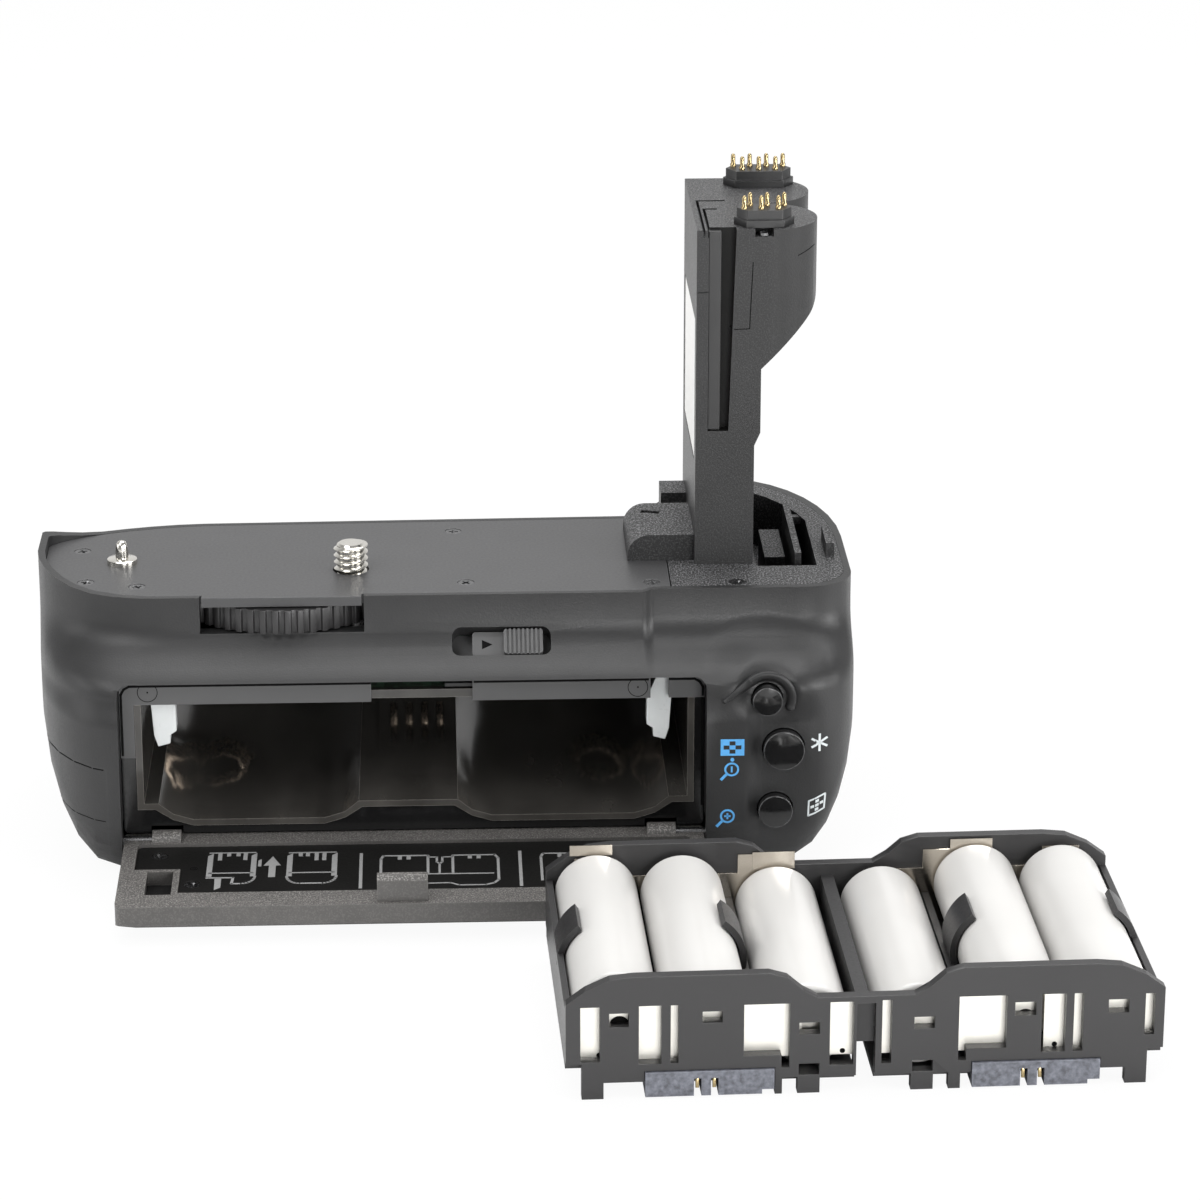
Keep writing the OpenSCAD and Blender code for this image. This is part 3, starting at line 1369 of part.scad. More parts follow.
// End plate: two humps over the outer cell pairs, a low middle and feet
plate_mid = tray_top - 4.6;
module end_plate(slot_h) {
    polygon(both_sides([
        [0, plate_mid], [8, plate_mid], [10.5, plate_mid + 1.5], [13, tray_top - 0.9], [16, tray_top],
        [38, tray_top], [42, tray_top - 0.4], [46, tray_top - 2.2], [tray_half, tray_top - 4.6],
        [tray_half, plate_low + 3.4], [46.6, plate_low + 3.4], [46.6, floor_z], [43, floor_z], [43, plate_low],
        [15.7, plate_low], [15.7, floor_z], [13.7, floor_z], [13.7, plate_low],
        [11.2, plate_low], [11.2, floor_z], [7.5, floor_z], [7.5, plate_low], [mid_slot, plate_low],
        [mid_slot, plate_low + slot_h], [0, plate_low + slot_h]]));
}
// Windows of the near plate: middle, width, depth below the humps and height
near_windows = [
    [-45.2, 3.2, 5.2, 9.8], [-40.5, 3.2, 6.4, 2.4], [-35.4, 3.7, 5.2, 10.4], [-31.4, 1.3, 5.2, 10.4],
    [-25.2, 3.3, 6.5, 2], [-16.3, 7.5, 5.5, 9.2], [-13.2, 1.3, 5.5, 11.5], [-9.3, 3.4, 9, 2.1],
    [-9.3, 3.4, 16.4, 2], [-4, 3.9, 5.5, 11.3],
    [3.4, 1.6, 5.4, 11.4], [9.6, 3.4, 8.6, 2.1], [9.4, 3.4, 16.4, 2], [19.2, 7.9, 5.2, 9.4],
    [15.9, 1.3, 5.2, 11.5], [26.2, 3.5, 6.5, 2.4],
    [30.9, 4, 5.2, 10.4], [35, 1.6, 5.2, 10.4], [41.6, 3.4, 6.5, 2.4], [46.8, 1.6, 5.6, 7.4]];
module tray_near_plate() {
    color("#3f3f40")
    at_tray()
    difference() {
        along_y(near_out, near_in) end_plate(mid_slot_h);
        for (w = near_windows)
            block([w[0] - w[1] / 2, near_out - 1, tray_top - w[2] - w[3]],
                [w[0] + w[1] / 2, near_in + 1, tray_top - w[2]]);
        for (x = terminal_places)
            block([x - terminal_w / 2 - 0.1, near_out - 1, floor_z - 1],
                [x + terminal_w / 2 + 0.1, near_in + 1, terminal_z + 0.1]);
    }
}
module tray_far_plate() {
    color("#333334")
    at_tray() along_y(far_in, far_out) end_plate(3);
}
// Contact strips against the end plates
near_strip_list = [[-47.6, -29.4], [-27.8, -10.4], [-6.6, -1.6], [1.6, 12.4], [14, 29], [29.6, 47.9]];
far_strip_list = [[-46.6, -28, -41], [-24, -6, -12.5], [8, 24, 20], [30, 46.6, 41]];
module strip(x0, x1, y, t) {
    block([x0, y, outer_axis - 7.6], [x1, y + t, outer_axis + 2.6]);
}
module near_strips() {
    color("#e7e2d2")
    at_tray()
    for (s = near_strip_list) strip(s[0], s[1], near_in + eps, strip_t);
}
module far_strips() {
    tab_w = 6.5;
    color("#cfc9b8")
    at_tray()
    for (s = far_strip_list) {
        strip(s[0], s[1], far_in - strip_t - eps, strip_t);
        block([s[2] - tab_w / 2, far_in - strip_t - eps, outer_axis + 2.5],
            [s[2] + tab_w / 2, far_in - eps, tray_top - 2.2]);
    }
}
// Terminal blocks under the near end: two slits show their contacts
module terminal_blocks() {
    slit = 1.2;
    color("#66707f")
    at_tray()
    for (x = terminal_places) translate([x, 0, 0])
        difference() {
            along_y(near_out - 0.4, near_out - 0.4 + terminal_d) polygon([
                [-terminal_w / 2, floor_z + 0.3], [terminal_w / 2 - 2, floor_z + 0.3],
                [terminal_w / 2 - 2, floor_z + 1.1], [terminal_w / 2, floor_z + 1.1],
                [terminal_w / 2, terminal_z], [-terminal_w / 2, terminal_z]]);
            for (s = [-2.6, 0.2])
                block([s, near_out - 1, floor_z - 1], [s + slit, near_out + 5, floor_z + 3.4]);
        }
}
module terminal_contacts() {
    color("#cfa650")
    at_tray()
    for (x = terminal_places) for (s = [-2.6, 0.2])
        along_x(x + s + 0.3, x + s + 0.9) polygon([
            [near_out + 4.9, floor_z + 3.3], [near_out + 0.6, floor_z + 3.3], [near_out + 0.3, floor_z + 1.4],
            [near_out + 0.7, floor_z + 1.3], [near_out + 1.1, floor_z + 2.8], [near_out + 4.9, floor_z + 2.8]]);
}
module cell() {
    nub_r = 2.7;
    nub_h = 1;
    rotate_extrude() polygon([
        [0, 0], [cell_r - 0.5, 0], [cell_r, 0.5], [cell_r, cell_len - nub_h - 0.5],
        [cell_r - 0.5, cell_len - nub_h], [nub_r, cell_len - nub_h], [nub_r, cell_len], [0, cell_len]]);
}
module battery_cells() {
    color("#f1efec")
    at_tray()
    for (i = [0:len(cell_offsets) - 1])
        translate([cell_offsets[i], i % 2 == 0 ? 0 : -cell_len, cell_axis(i)])
            rotate([i % 2 == 0 ? 90 : -90, 0, 0]) cell();
}

main_housing();
base_cover();
grip_skin();
base_pad();
tripod_bush();
top_plate();
plate_screws();
locating_pin();
terminal_deck();
wheel_carrier();
wheel_retainer();
bearing_plate();
thumb_wheel();
camera_screw();
drive_pinion();
mouth_frame();
battery_chamber();
contact_block();
chamber_contacts();
eject_spring_left();
eject_spring_right();
main_board();
release_slider();
latch_bar();
lever_pins();
lock_lever_left();
lock_lever_right();
button_top();
button_middle();
button_low();
button_pad();
button_board();
shutter_button();
function_button();
power_lever();
control_dial();
dial_axle();
stalk_body();
stalk_screw();
stalk_rail();
stalk_label();
rear_connector();
front_connector();
rear_pins();
front_pins();
hinge_pins();
door_panel();
door_inner_plate();
door_skin();
door_hook();
door_screws();
tray_frame();
tray_near_plate();
tray_far_plate();
near_strips();
far_strips();
terminal_blocks();
terminal_contacts();
battery_cells();
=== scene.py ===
# %% [markdown]
# # A camera battery grip and its tray of cells
# The grip screws under a camera and doubles its batteries. It lies open here: the door is down, the
# chamber is empty and the tray of six round cells lies in front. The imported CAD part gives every
# size and place, and this lesson gives it its surfaces, its small parts and its prints.

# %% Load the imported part
import json
import math
import bmesh
import bpy
from mathutils import Matrix, Vector
from mathutils.bvhtree import BVHTree


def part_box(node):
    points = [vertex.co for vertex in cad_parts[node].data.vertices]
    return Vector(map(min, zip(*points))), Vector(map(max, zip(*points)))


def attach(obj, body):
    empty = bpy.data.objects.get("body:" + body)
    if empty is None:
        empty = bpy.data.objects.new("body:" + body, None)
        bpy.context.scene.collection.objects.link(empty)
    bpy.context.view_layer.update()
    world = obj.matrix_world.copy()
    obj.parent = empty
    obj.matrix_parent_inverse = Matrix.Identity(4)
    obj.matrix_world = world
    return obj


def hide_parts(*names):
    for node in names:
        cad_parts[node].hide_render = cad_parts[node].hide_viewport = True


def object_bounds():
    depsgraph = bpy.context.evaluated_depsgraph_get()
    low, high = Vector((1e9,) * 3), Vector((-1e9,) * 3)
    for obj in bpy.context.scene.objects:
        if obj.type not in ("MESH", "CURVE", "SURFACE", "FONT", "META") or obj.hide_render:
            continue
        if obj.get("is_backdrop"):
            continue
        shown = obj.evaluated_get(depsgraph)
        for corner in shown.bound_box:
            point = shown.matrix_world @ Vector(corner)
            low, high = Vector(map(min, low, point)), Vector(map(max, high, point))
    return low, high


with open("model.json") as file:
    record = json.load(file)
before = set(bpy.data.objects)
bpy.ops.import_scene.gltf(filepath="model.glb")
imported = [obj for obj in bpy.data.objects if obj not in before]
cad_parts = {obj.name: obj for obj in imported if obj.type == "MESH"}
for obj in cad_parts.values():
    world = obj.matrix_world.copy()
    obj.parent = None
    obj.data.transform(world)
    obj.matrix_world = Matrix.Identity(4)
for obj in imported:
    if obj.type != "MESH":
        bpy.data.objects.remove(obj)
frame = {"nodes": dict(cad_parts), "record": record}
nodes = frame["nodes"]
record = frame["record"]
body_by_node = {n: b for b, members in record["behaviour"]["bodies"].items() for n in members}
slot_by_node = {s["node"]: s["material_slot"] for s in record["subparts"]}
cad_low, cad_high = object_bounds()
MM = 0.001
QUARTER_TURN = math.radians(90)
print("loaded", len(nodes), "nodes, box in mm", [round(v / MM, 1) for v in cad_high - cad_low])

# %% [markdown]
# ## Camera
# The photograph looks down at the rear of the grip by about twenty degrees, from three quarters of a
# metre, with a long lens. A camera object at the same place gives the same lines, so shapes can be
# compared point by point.

# %% Set up the camera
lens = bpy.data.cameras.new("studio_camera")
lens.sensor_width = 36
lens.lens = 128.565
lens.clip_start = 0.01
camera = bpy.data.objects.new("studio_camera", lens)
camera.location = (0.01598, -0.74724, 0.2632)
camera.rotation_euler = (math.radians(70.15), 0, math.radians(-2.3))
bpy.context.scene.collection.objects.link(camera)
bpy.context.scene.camera = camera
bpy.context.scene.view_settings.view_transform = "Standard"
print("camera at", tuple(camera.location))

# %% [markdown]
# ## Floor and light
# The photograph is a cut-out on white. A white floor that also sends out some white to the camera
# keeps a soft shadow and stays pale, and large soft lamps round the table make the long, quiet
# gradients on dark plastic. The world is white for the camera, and in reflections it is a bright
# backdrop behind the table and a dim room in front of it.

# %% Lay the floor
FLOOR_GAP = 0.05 * MM
PAPER_GLOW = 0.94


def link_mesh(bm, name):
    mesh = bpy.data.meshes.new(name)
    bm.to_mesh(mesh)
    bm.free()
    obj = bpy.data.objects.new(name, mesh)
    bpy.context.scene.collection.objects.link(obj)
    return obj


def feed(tree, value, socket):
    if isinstance(value, bpy.types.NodeSocket):
        tree.links.new(value, socket)
    else:
        socket.default_value = value


floor_bm = bmesh.new()
bmesh.ops.create_grid(floor_bm, x_segments=2, y_segments=2, size=4)
bmesh.ops.translate(floor_bm, verts=floor_bm.verts, vec=(0, 0, cad_low.z - FLOOR_GAP))
floor = link_mesh(floor_bm, "studio_floor")
floor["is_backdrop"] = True

paper = bpy.data.materials.new("studio_paper")
paper.use_nodes = True
tree = paper.node_tree
shade = tree.nodes["Principled BSDF"]
shade.inputs["Base Color"].default_value = (0.86, 0.86, 0.86, 1)
shade.inputs["Roughness"].default_value = 0.9
shade.inputs["Specular IOR Level"].default_value = 0.1
glow = tree.nodes.new("ShaderNodeEmission")
rays = tree.nodes.new("ShaderNodeLightPath")
share = tree.nodes.new("ShaderNodeMath")
share.operation = "MULTIPLY"
share.inputs[1].default_value = PAPER_GLOW
both = tree.nodes.new("ShaderNodeMixShader")
tree.links.new(rays.outputs["Is Camera Ray"], share.inputs[0])
tree.links.new(share.outputs[0], both.inputs[0])
tree.links.new(shade.outputs[0], both.inputs[1])
tree.links.new(glow.outputs[0], both.inputs[2])
tree.links.new(both.outputs[0], tree.nodes["Material Output"].inputs[0])
floor.data.materials.append(paper)
print("floor ready")

# %% Set the world and the lamps
DIM_ROOM, BACKDROP, WHITE = 0.36, 0.85, 1.0
world = bpy.data.worlds.new("studio_world")
world.use_nodes = True
bpy.context.scene.world = world
tree = world.node_tree
sky = tree.nodes["Background"]
sky.inputs["Color"].default_value = (1, 1, 1, 1)
rays = tree.nodes.new("ShaderNodeLightPath")
way = tree.nodes.new("ShaderNodeSeparateXYZ")
tree.links.new(tree.nodes.new("ShaderNodeTexCoord").outputs["Generated"], way.inputs[0])
backdrop = tree.nodes.new("ShaderNodeMapRange")
for socket, number in (("From Min", 0.2), ("From Max", 0.9), ("To Min", DIM_ROOM), ("To Max", BACKDROP)):
    backdrop.inputs[socket].default_value = number
tree.links.new(way.outputs["Y"], backdrop.inputs["Value"])
level = DIM_ROOM
for kind, strength in (("Is Glossy Ray", backdrop.outputs["Result"]),
                       ("Is Transmission Ray", WHITE), ("Is Camera Ray", WHITE)):
    pick = tree.nodes.new("ShaderNodeMix")
    feed(tree, rays.outputs[kind], pick.inputs["Factor"])
    feed(tree, level, pick.inputs["A"])
    feed(tree, strength, pick.inputs["B"])
    level = pick.outputs["Result"]
feed(tree, level, sky.inputs["Strength"])

for name, place, aim, size, power in [
        ("key_lamp", (-0.55, -0.55, 0.85), (0, 0, -0.02), 0.7, 7.0),
        ("top_lamp", (0.1, 0.25, 0.95), (0, 0, -0.02), 0.9, 10.5),
        ("side_lamp", (0.95, -0.45, 0.28), (0.06, 0, -0.03), 0.5, 8.0),
        ("left_lamp", (-0.95, -0.1, 0.22), (0, 0, 0.01), 0.4, 1.6),
        ("front_lamp", (0.32, -1.0, 0.12), (0.03, 0, -0.03), 0.3, 4.0)]:
    lamp = bpy.data.lights.new(name, "AREA")
    lamp.shape = "SQUARE"
    lamp.size = size
    lamp.energy = power
    holder = bpy.data.objects.new(name, lamp)
    holder.location = place
    holder.rotation_euler = (Vector(aim) - Vector(place)).to_track_quat("-Z", "Y").to_euler()
    bpy.context.scene.collection.objects.link(holder)
print("world and lamps ready")

# %% [markdown]
# ## Finishes
# Every finish is a small node tree on Object coordinates, so that a grain has its real size in
# millimetres on every piece. A few helpers add one node each: noise, pebbles, a mix, a bump.
# The rub on edges compares the normal with a rounded one: where they differ there is an edge.

# %% Helpers for node trees
COLOUR_A, COLOUR_B, COLOUR_RESULT = 6, 7, 2


class Finish:
    def __init__(self, name, colour, roughness, metallic=0.0, specular=0.5):
        self.material = bpy.data.materials.new(name)
        self.material.use_nodes = True
        self.material.diffuse_color = (*colour, 1)
        self.tree = self.material.node_tree
        self.shader = self.tree.nodes["Principled BSDF"]
        self.set("Base Color", (*colour, 1))
        self.set("Roughness", roughness)
        self.set("Metallic", metallic)
        self.set("Specular IOR Level", specular)
        self.coords = self.add("ShaderNodeTexCoord").outputs["Object"]

    def add(self, kind):
        return self.tree.nodes.new(kind)

    def set(self, socket, value):
        self.shader.inputs[socket].default_value = value

    def join(self, a, b):
        self.tree.links.new(a, b)

    def stretched(self, scale):
        mapping = self.add("ShaderNodeMapping")
        mapping.inputs["Scale"].default_value = scale
        self.join(self.coords, mapping.inputs["Vector"])
        return mapping.outputs["Vector"]

    def noise(self, size_mm, detail=2.0, vector=None):
        node = self.add("ShaderNodeTexNoise")
        node.inputs["Scale"].default_value = 1 / (size_mm * MM)
        node.inputs["Detail"].default_value = detail
        self.join(vector or self.coords, node.inputs["Vector"])
        return node.outputs["Fac"]

    def valleys(self, size_mm):
        node = self.add("ShaderNodeTexVoronoi")
        node.feature = "DISTANCE_TO_EDGE"
        node.inputs["Scale"].default_value = 1 / (size_mm * MM)
        self.join(self.coords, node.inputs["Vector"])
        return node.outputs["Distance"]

    def remap(self, value, low, high, to_low=0.0, to_high=1.0, kind="LINEAR"):
        node = self.add("ShaderNodeMapRange")
        node.interpolation_type = kind
        ends = {"From Min": low, "From Max": high, "To Min": to_low, "To Max": to_high}
        for socket, number in ends.items():
            node.inputs[socket].default_value = number
        self.join(value, node.inputs["Value"])
        return node.outputs["Result"]

    def times(self, a, b, kind="MULTIPLY"):
        node = self.add("ShaderNodeMath")
        node.operation = kind
        for socket, value in zip(node.inputs, (a, b)):
            feed(self.tree, value, socket)
        return node.outputs[0]

    def mix(self, factor, a, b):
        node = self.add("ShaderNodeMix")
        node.data_type = "RGBA"
        self.join(factor, node.inputs["Factor"])
        for socket, value in ((node.inputs[COLOUR_A], a), (node.inputs[COLOUR_B], b)):
            feed(self.tree, (*value, 1) if isinstance(value, tuple) else value, socket)
        return node.outputs[COLOUR_RESULT]

    def vector(self, operation, a, b=None):
        node = self.add("ShaderNodeVectorMath")
        node.operation = operation
        feed(self.tree, a, node.inputs[0])
        if b is not None:
            feed(self.tree, b, node.inputs[1])
        return node.outputs["Value" if operation in ("DOT_PRODUCT", "LENGTH") else "Vector"]

    def edges(self, radius_mm):
        rounded = self.add("ShaderNodeBevel")
        rounded.samples = 4
        rounded.inputs["Radius"].default_value = radius_mm * MM
        plain = self.add("ShaderNodeNewGeometry")
        alike = self.vector("DOT_PRODUCT", rounded.outputs["Normal"], plain.outputs["Normal"])
        return self.remap(alike, 0.93, 0.9985, 1, 0)

    def facing(self, way):
        normal = self.add("ShaderNodeNewGeometry").outputs["Normal"]
        return self.remap(self.vector("DOT_PRODUCT", normal, way), 0.1, 1.0)

    def part(self, vector, axis):
        node = self.add("ShaderNodeSeparateXYZ")
        self.join(vector, node.inputs[0])
        return node.outputs[axis]

    def bump(self, height, depth_mm, strength=1.0, under=None):
        node = self.add("ShaderNodeBump")
        node.inputs["Distance"].default_value = depth_mm * MM
        node.inputs["Strength"].default_value = strength
        self.join(height, node.inputs["Height"])
        if under:
            self.join(under, node.inputs["Normal"])
        self.join(node.outputs["Normal"], self.shader.inputs["Normal"])
        return node.outputs["Normal"]

    def colour(self, value):
        self.join(value, self.shader.inputs["Base Color"])

    def rough(self, value):
        self.join(value, self.shader.inputs["Roughness"])


def shade_of(colour, k):
    return tuple(min(1, c * k) for c in colour)


# %% [markdown]
# ## Moulded plastics
# The shell is a dark matte moulding with a spark-eroded grain of about a third of a millimetre. The
# same recipe, with other grain sizes and depths, gives the satin plate, the deck, the door and the
# tray. Handled edges are a little paler than the rest. On the deck, the stalk and the door, faces turned
# towards the key lamp get light dots mixed into their colour: painted glints, which also make the
# door's lit faces lighter. A soft bump raises the hood round the top button.

# %% Plastic finishes
def moulded(name, colour, roughness, grain_mm, depth_mm, lit_face_glints=0.0, glint=26, rub=0.5, mottle=0.12,
            patch_mm=11, specular=0.5, relief=None):
    f = Finish(name, colour, roughness, specular=specular)
    patches = f.noise(patch_mm, 3)
    grain = f.noise(grain_mm, 2.5)
    body = f.mix(f.remap(patches, 0.3, 0.7), shade_of(colour, 1 - mottle), shade_of(colour, 1 + mottle))
    # Painted glints: light dots go into the colour only where a face turns towards the key lamp, so lit
    # faces look sparkling and lighter.
    if lit_face_glints:
        dots = f.times(f.remap(f.noise(grain_mm * 0.8, 1.0), 0.50, 0.64), f.facing((-0.3, -0.2, 0.93)))
        body = f.mix(f.times(dots, lit_face_glints), body, shade_of(colour, glint))
    worn = f.times(f.edges(0.35), f.remap(f.noise(2.2, 3), 0.35, 0.75, 0.15, 1))
    body = f.mix(f.times(worn, rub), body, shade_of(colour, 2.1))
    f.colour(body)
    f.rough(f.remap(grain, 0.2, 0.8, roughness + 0.07, roughness - 0.07))
    f.bump(grain, depth_mm, 0.8, relief(f) if relief else None)
    return f.material


def thumb_hood(f):
    def rise(value, low_mm, high_mm):
        return f.remap(value, low_mm * MM, high_mm * MM, 0, 1, "SMOOTHSTEP")

    def fall(value, low_mm, high_mm):
        return f.remap(value, low_mm * MM, high_mm * MM, 1, 0, "SMOOTHSTEP")

    low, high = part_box("button_top")
    away = f.vector("MULTIPLY", f.vector("SUBTRACT", f.coords, (low + high) / 2), (1, 0, 1))
    reach = f.vector("LENGTH", away)
    crest = f.times(rise(reach, 3.0, 6.5), fall(reach, 6.5, 13))
    upper = rise(f.part(away, "Z"), -5, 2.5)
    along, down = f.part(f.coords, "X"), f.part(f.coords, "Z")
    shoulder = f.times(fall(along, 71.2, 74.6), f.times(rise(down, -46, -41), fall(down, -22, -16)))
    return f.bump(f.times(f.times(crest, upper), shoulder, "ADD"), 1.2)


finishes = {
    "shell": moulded("charcoal_shell", (0.018, 0.018, 0.0184), 0.43, 0.34, 0.034,
                     specular=0.40, relief=thumb_hood),
    "plate": moulded("satin_plate", (0.045, 0.045, 0.0463), 0.40, 0.50, 0.008, rub=0.7, mottle=0.04),
    # The deck, the stalk and the door carry painted glints on their lit faces.
    "deck": moulded("deck_with_painted_glints", (0.017, 0.017, 0.0174), 0.48, 0.42, 0.070,
                    lit_face_glints=0.4, glint=30, specular=0.25),
    "stalk": moulded("stalk_with_painted_glints", (0.0145, 0.0145, 0.0148), 0.46, 0.36, 0.050,
                     lit_face_glints=0.35, specular=0.38),
    "frame": moulded("satin_frame", (0.070, 0.070, 0.071), 0.42, 0.40, 0.010, mottle=0.06),
    "door": moulded("satin_door", (0.066, 0.063, 0.060), 0.45, 0.36, 0.040,
                    lit_face_glints=0.9, glint=4, rub=0.9, mottle=0.16),
    "door_inner": moulded("dull_door_plate", (0.0085, 0.0083, 0.008), 0.40, 0.40, 0.014,
                          rub=0.6, specular=0.12),
    "control": moulded("black_controls", (0.012, 0.012, 0.0123), 0.30, 0.50, 0.004, rub=0.8, mottle=0.06),
    "block": moulded("connector_black", (0.015, 0.015, 0.0153), 0.38, 0.35, 0.008, rub=0.7),
    "tray": moulded("tray_plastic", (0.021, 0.0204, 0.021), 0.40, 0.45, 0.010, rub=0.6, mottle=0.06),
    "terminal": moulded("slate_terminal", (0.106, 0.111, 0.131), 0.42, 0.55, 0.060,
                        rub=0.8, mottle=0.45, patch_mm=0.9),
    "glossy": moulded("glossy_black", (0.0075, 0.0075, 0.0077), 0.16, 0.60, 0.003, rub=0.9, mottle=0.05),
}
print(len(finishes), "plastic finishes")

# %% [markdown]
# ## Rubber, liner and white plastics
# The rubber skins have a leather-like pebble: cells of about a millimetre with soft valleys, where the
# valleys are painted darker and the tops lighter as painted shade and highlight. The chamber's liner is
# polished and shows blurred images of the springs, and a painted highlight lines its edges. The lock
# levers are milky, so some light goes through them, and each cell has a thin white sleeve that shrank
# onto it.

# %% Soft and glossy finishes
def pebbled(name, colour):
    f = Finish(name, colour, 0.62, specular=0.35)
    height_and_valley_shade = f.remap(f.valleys(1.15), 0.0, 0.30)
    dust = f.remap(f.noise(6, 4), 0.45, 0.7)
    # Painted shade and highlight: the valleys are darkened and the pebble tops lightened in the colour; the
    # same mask drives the real bump.
    body = f.mix(height_and_valley_shade, shade_of(colour, 0.3), shade_of(colour, 1.4))
    f.colour(f.mix(f.times(dust, 0.25), body, shade_of(colour, 2.2)))
    f.rough(f.remap(height_and_valley_shade, 0, 1, 0.72, 0.55))
    fine = f.bump(f.noise(0.22, 2), 0.02, 0.5)
    f.bump(height_and_valley_shade, 0.22, 1.0, fine)
    return f.material


def gloss_with_painted_rim(name, colour):
    f = Finish(name, colour, 0.10)
    # Painted highlight: the rim is lightened to thirty times the colour along its edge, as if it caught the
    # light.
    rim = f.times(f.edges(0.22), f.remap(f.noise(1.6, 2), 0.3, 0.7, 0.5, 1))
    f.colour(f.mix(rim, colour, shade_of(colour, 30)))
    f.rough(f.remap(f.noise(1.1, 3), 0.3, 0.7, 0.07, 0.16))
    return f.material


def liner_with_painted_edge_light(name, colour):
    f = Finish(name, colour, 0.10, specular=0.5)
    smear = f.noise(9, 4, f.stretched((1, 0.35, 1)))
    body = f.mix(f.remap(smear, 0.35, 0.7), shade_of(colour, 0.8), shade_of(colour, 1.4))
    # Painted highlight: a thin lighter line along the edges, five times the colour.
    f.colour(f.mix(f.edges(0.12), body, shade_of(colour, 5)))
    f.rough(f.remap(smear, 0.3, 0.75, 0.05, 0.15))
    f.bump(f.noise(16, 2), 0.10, 0.2)
    return f.material


def milky(name, colour):
    f = Finish(name, colour, 0.32)
    f.set("Subsurface Weight", 0.35)
    f.set("Subsurface Radius", (0.004, 0.004, 0.004))
    f.set("Subsurface Scale", 0.5)
    cloud = f.noise(4, 3)
    f.colour(f.mix(f.remap(cloud, 0.3, 0.7), shade_of(colour, 0.93), colour))
    f.rough(f.remap(f.noise(0.8, 2), 0.3, 0.7, 0.26, 0.40))
    return f.material


def sleeve(name, colour):
    f = Finish(name, colour, 0.34)
    f.set("Coat Weight", 0.25)
    f.set("Coat Roughness", 0.15)
    blush = f.noise(18, 2)
    f.colour(f.mix(f.remap(blush, 0.3, 0.7), colour, shade_of(colour, 0.95)))
    folds = f.noise(7, 3, f.stretched((1, 0.12, 1)))
    f.rough(f.remap(folds, 0.3, 0.7, 0.28, 0.42))
    f.bump(folds, 0.12, 0.35)
    return f.material


def paper_label(name, colour):
    f = Finish(name, colour, 0.75, specular=0.2)
    fibre = f.noise(0.5, 4, f.stretched((1, 0.3, 1)))
    f.colour(f.mix(f.remap(fibre, 0.3, 0.7), shade_of(colour, 0.94), colour))
    f.bump(fibre, 0.01, 0.4)
    return f.material


def lacquered(name, colour):
    f = Finish(name, colour, 0.28)
    tracks = f.remap(f.noise(1.4, 0.0, f.stretched((1, 0.2, 1))), 0.50, 0.52)
    f.colour(f.mix(tracks, shade_of(colour, 0.7), shade_of(colour, 1.5)))
    f.bump(tracks, 0.03, 0.6)
    return f.material


finishes["rubber"] = pebbled("pebbled_rubber", (0.040, 0.040, 0.041))
finishes["button"] = gloss_with_painted_rim("gloss_with_painted_rim", (0.0085, 0.0085, 0.0087))
finishes["chamber"] = liner_with_painted_edge_light("liner_with_painted_edge_light", (0.048, 0.045, 0.041))
finishes["lever"] = milky("milky_lever", (0.64, 0.66, 0.66))
finishes["cell"] = sleeve("cell_sleeve", (0.575, 0.566, 0.55))
finishes["label"] = paper_label("bare_label", (0.88, 0.875, 0.86))
finishes["board"] = lacquered("board_lacquer", (0.05, 0.16, 0.08))
print("soft and glossy finishes done")

# %% [markdown]
# ## Metals
# The screw and the pin are bright nickel, the springs are copper washed wire, the strips behind the
# tray's windows are rolled nickel and the contacts are gold plated. All are metallic shaders whose
# roughness wanders a little: that is what tells turned, rolled and plated metal apart.

# %% Metal finishes
def metal(name, colour, roughness, size_mm, stretch=(1, 1, 1), depth_mm=0.004, stain=0.25):
    f = Finish(name, colour, roughness, metallic=1.0)
    streak = f.noise(size_mm, 4, f.stretched(stretch))
    tarnish = f.remap(f.noise(5, 4), 0.45, 0.75)
    f.colour(f.mix(f.times(tarnish, stain), colour, shade_of(colour, 0.62)))
    f.rough(f.remap(streak, 0.25, 0.75, roughness * 0.7, roughness * 1.4))
    f.bump(streak, depth_mm, 0.6)
    return f.material


finishes["nickel"] = metal("bright_nickel", (0.74, 0.72, 0.67), 0.16, 0.8, (1, 1, 6))
finishes["steel"] = metal("plain_steel", (0.17, 0.17, 0.173), 0.28, 0.5)
finishes["spring"] = metal("copper_washed_wire", (0.50, 0.40, 0.31), 0.26, 0.6)
finishes["brass"] = metal("turned_brass", (0.62, 0.49, 0.24), 0.26, 0.5, (1, 1, 8))
finishes["gold"] = metal("gold_plate", (0.37, 0.29, 0.155), 0.20, 0.5)
finishes["strip"] = metal("rolled_nickel", (0.84, 0.82, 0.76), 0.42, 0.6, (1, 1, 5), stain=0.12)
finishes["tab"] = metal("bright_tab", (0.58, 0.53, 0.46), 0.14, 0.9, (1, 1, 4), stain=0.5)
print(len(finishes), "finishes in all")

# %% [markdown]
# ## Edges on the CAD pieces
# A moulded or cut edge is never sharp, and the thin light line along it is what makes a model look
# real. A node's mesh is loose triangles, so a copy is merged, its flat faces are joined again and its
# sharp edges get a small bevel. The copy stands for the node. Where a bevel would spoil a mesh, the
# helper tries a smaller one, and in the end leaves the edges as they are. On a bevelled piece the
# large faces are shaded flat.

# %% Helpers that make a finished piece and refine a node
SAME_POINT = 1.5e-6
BOX_SLACK = 1e-5
FLAT_FACE_MM2 = 6
CREASE, WIRE_CREASE = 38, 60
SHARP = math.radians(42)
COPLANAR = math.radians(0.4)
BEVEL_SHARES = (1, 0.6, 0.35, 0.2)
LENGTH_IN_WIDTHS = 2.2
LEAST_VOLUME, MOST_VOLUME = 0.9, 1.01


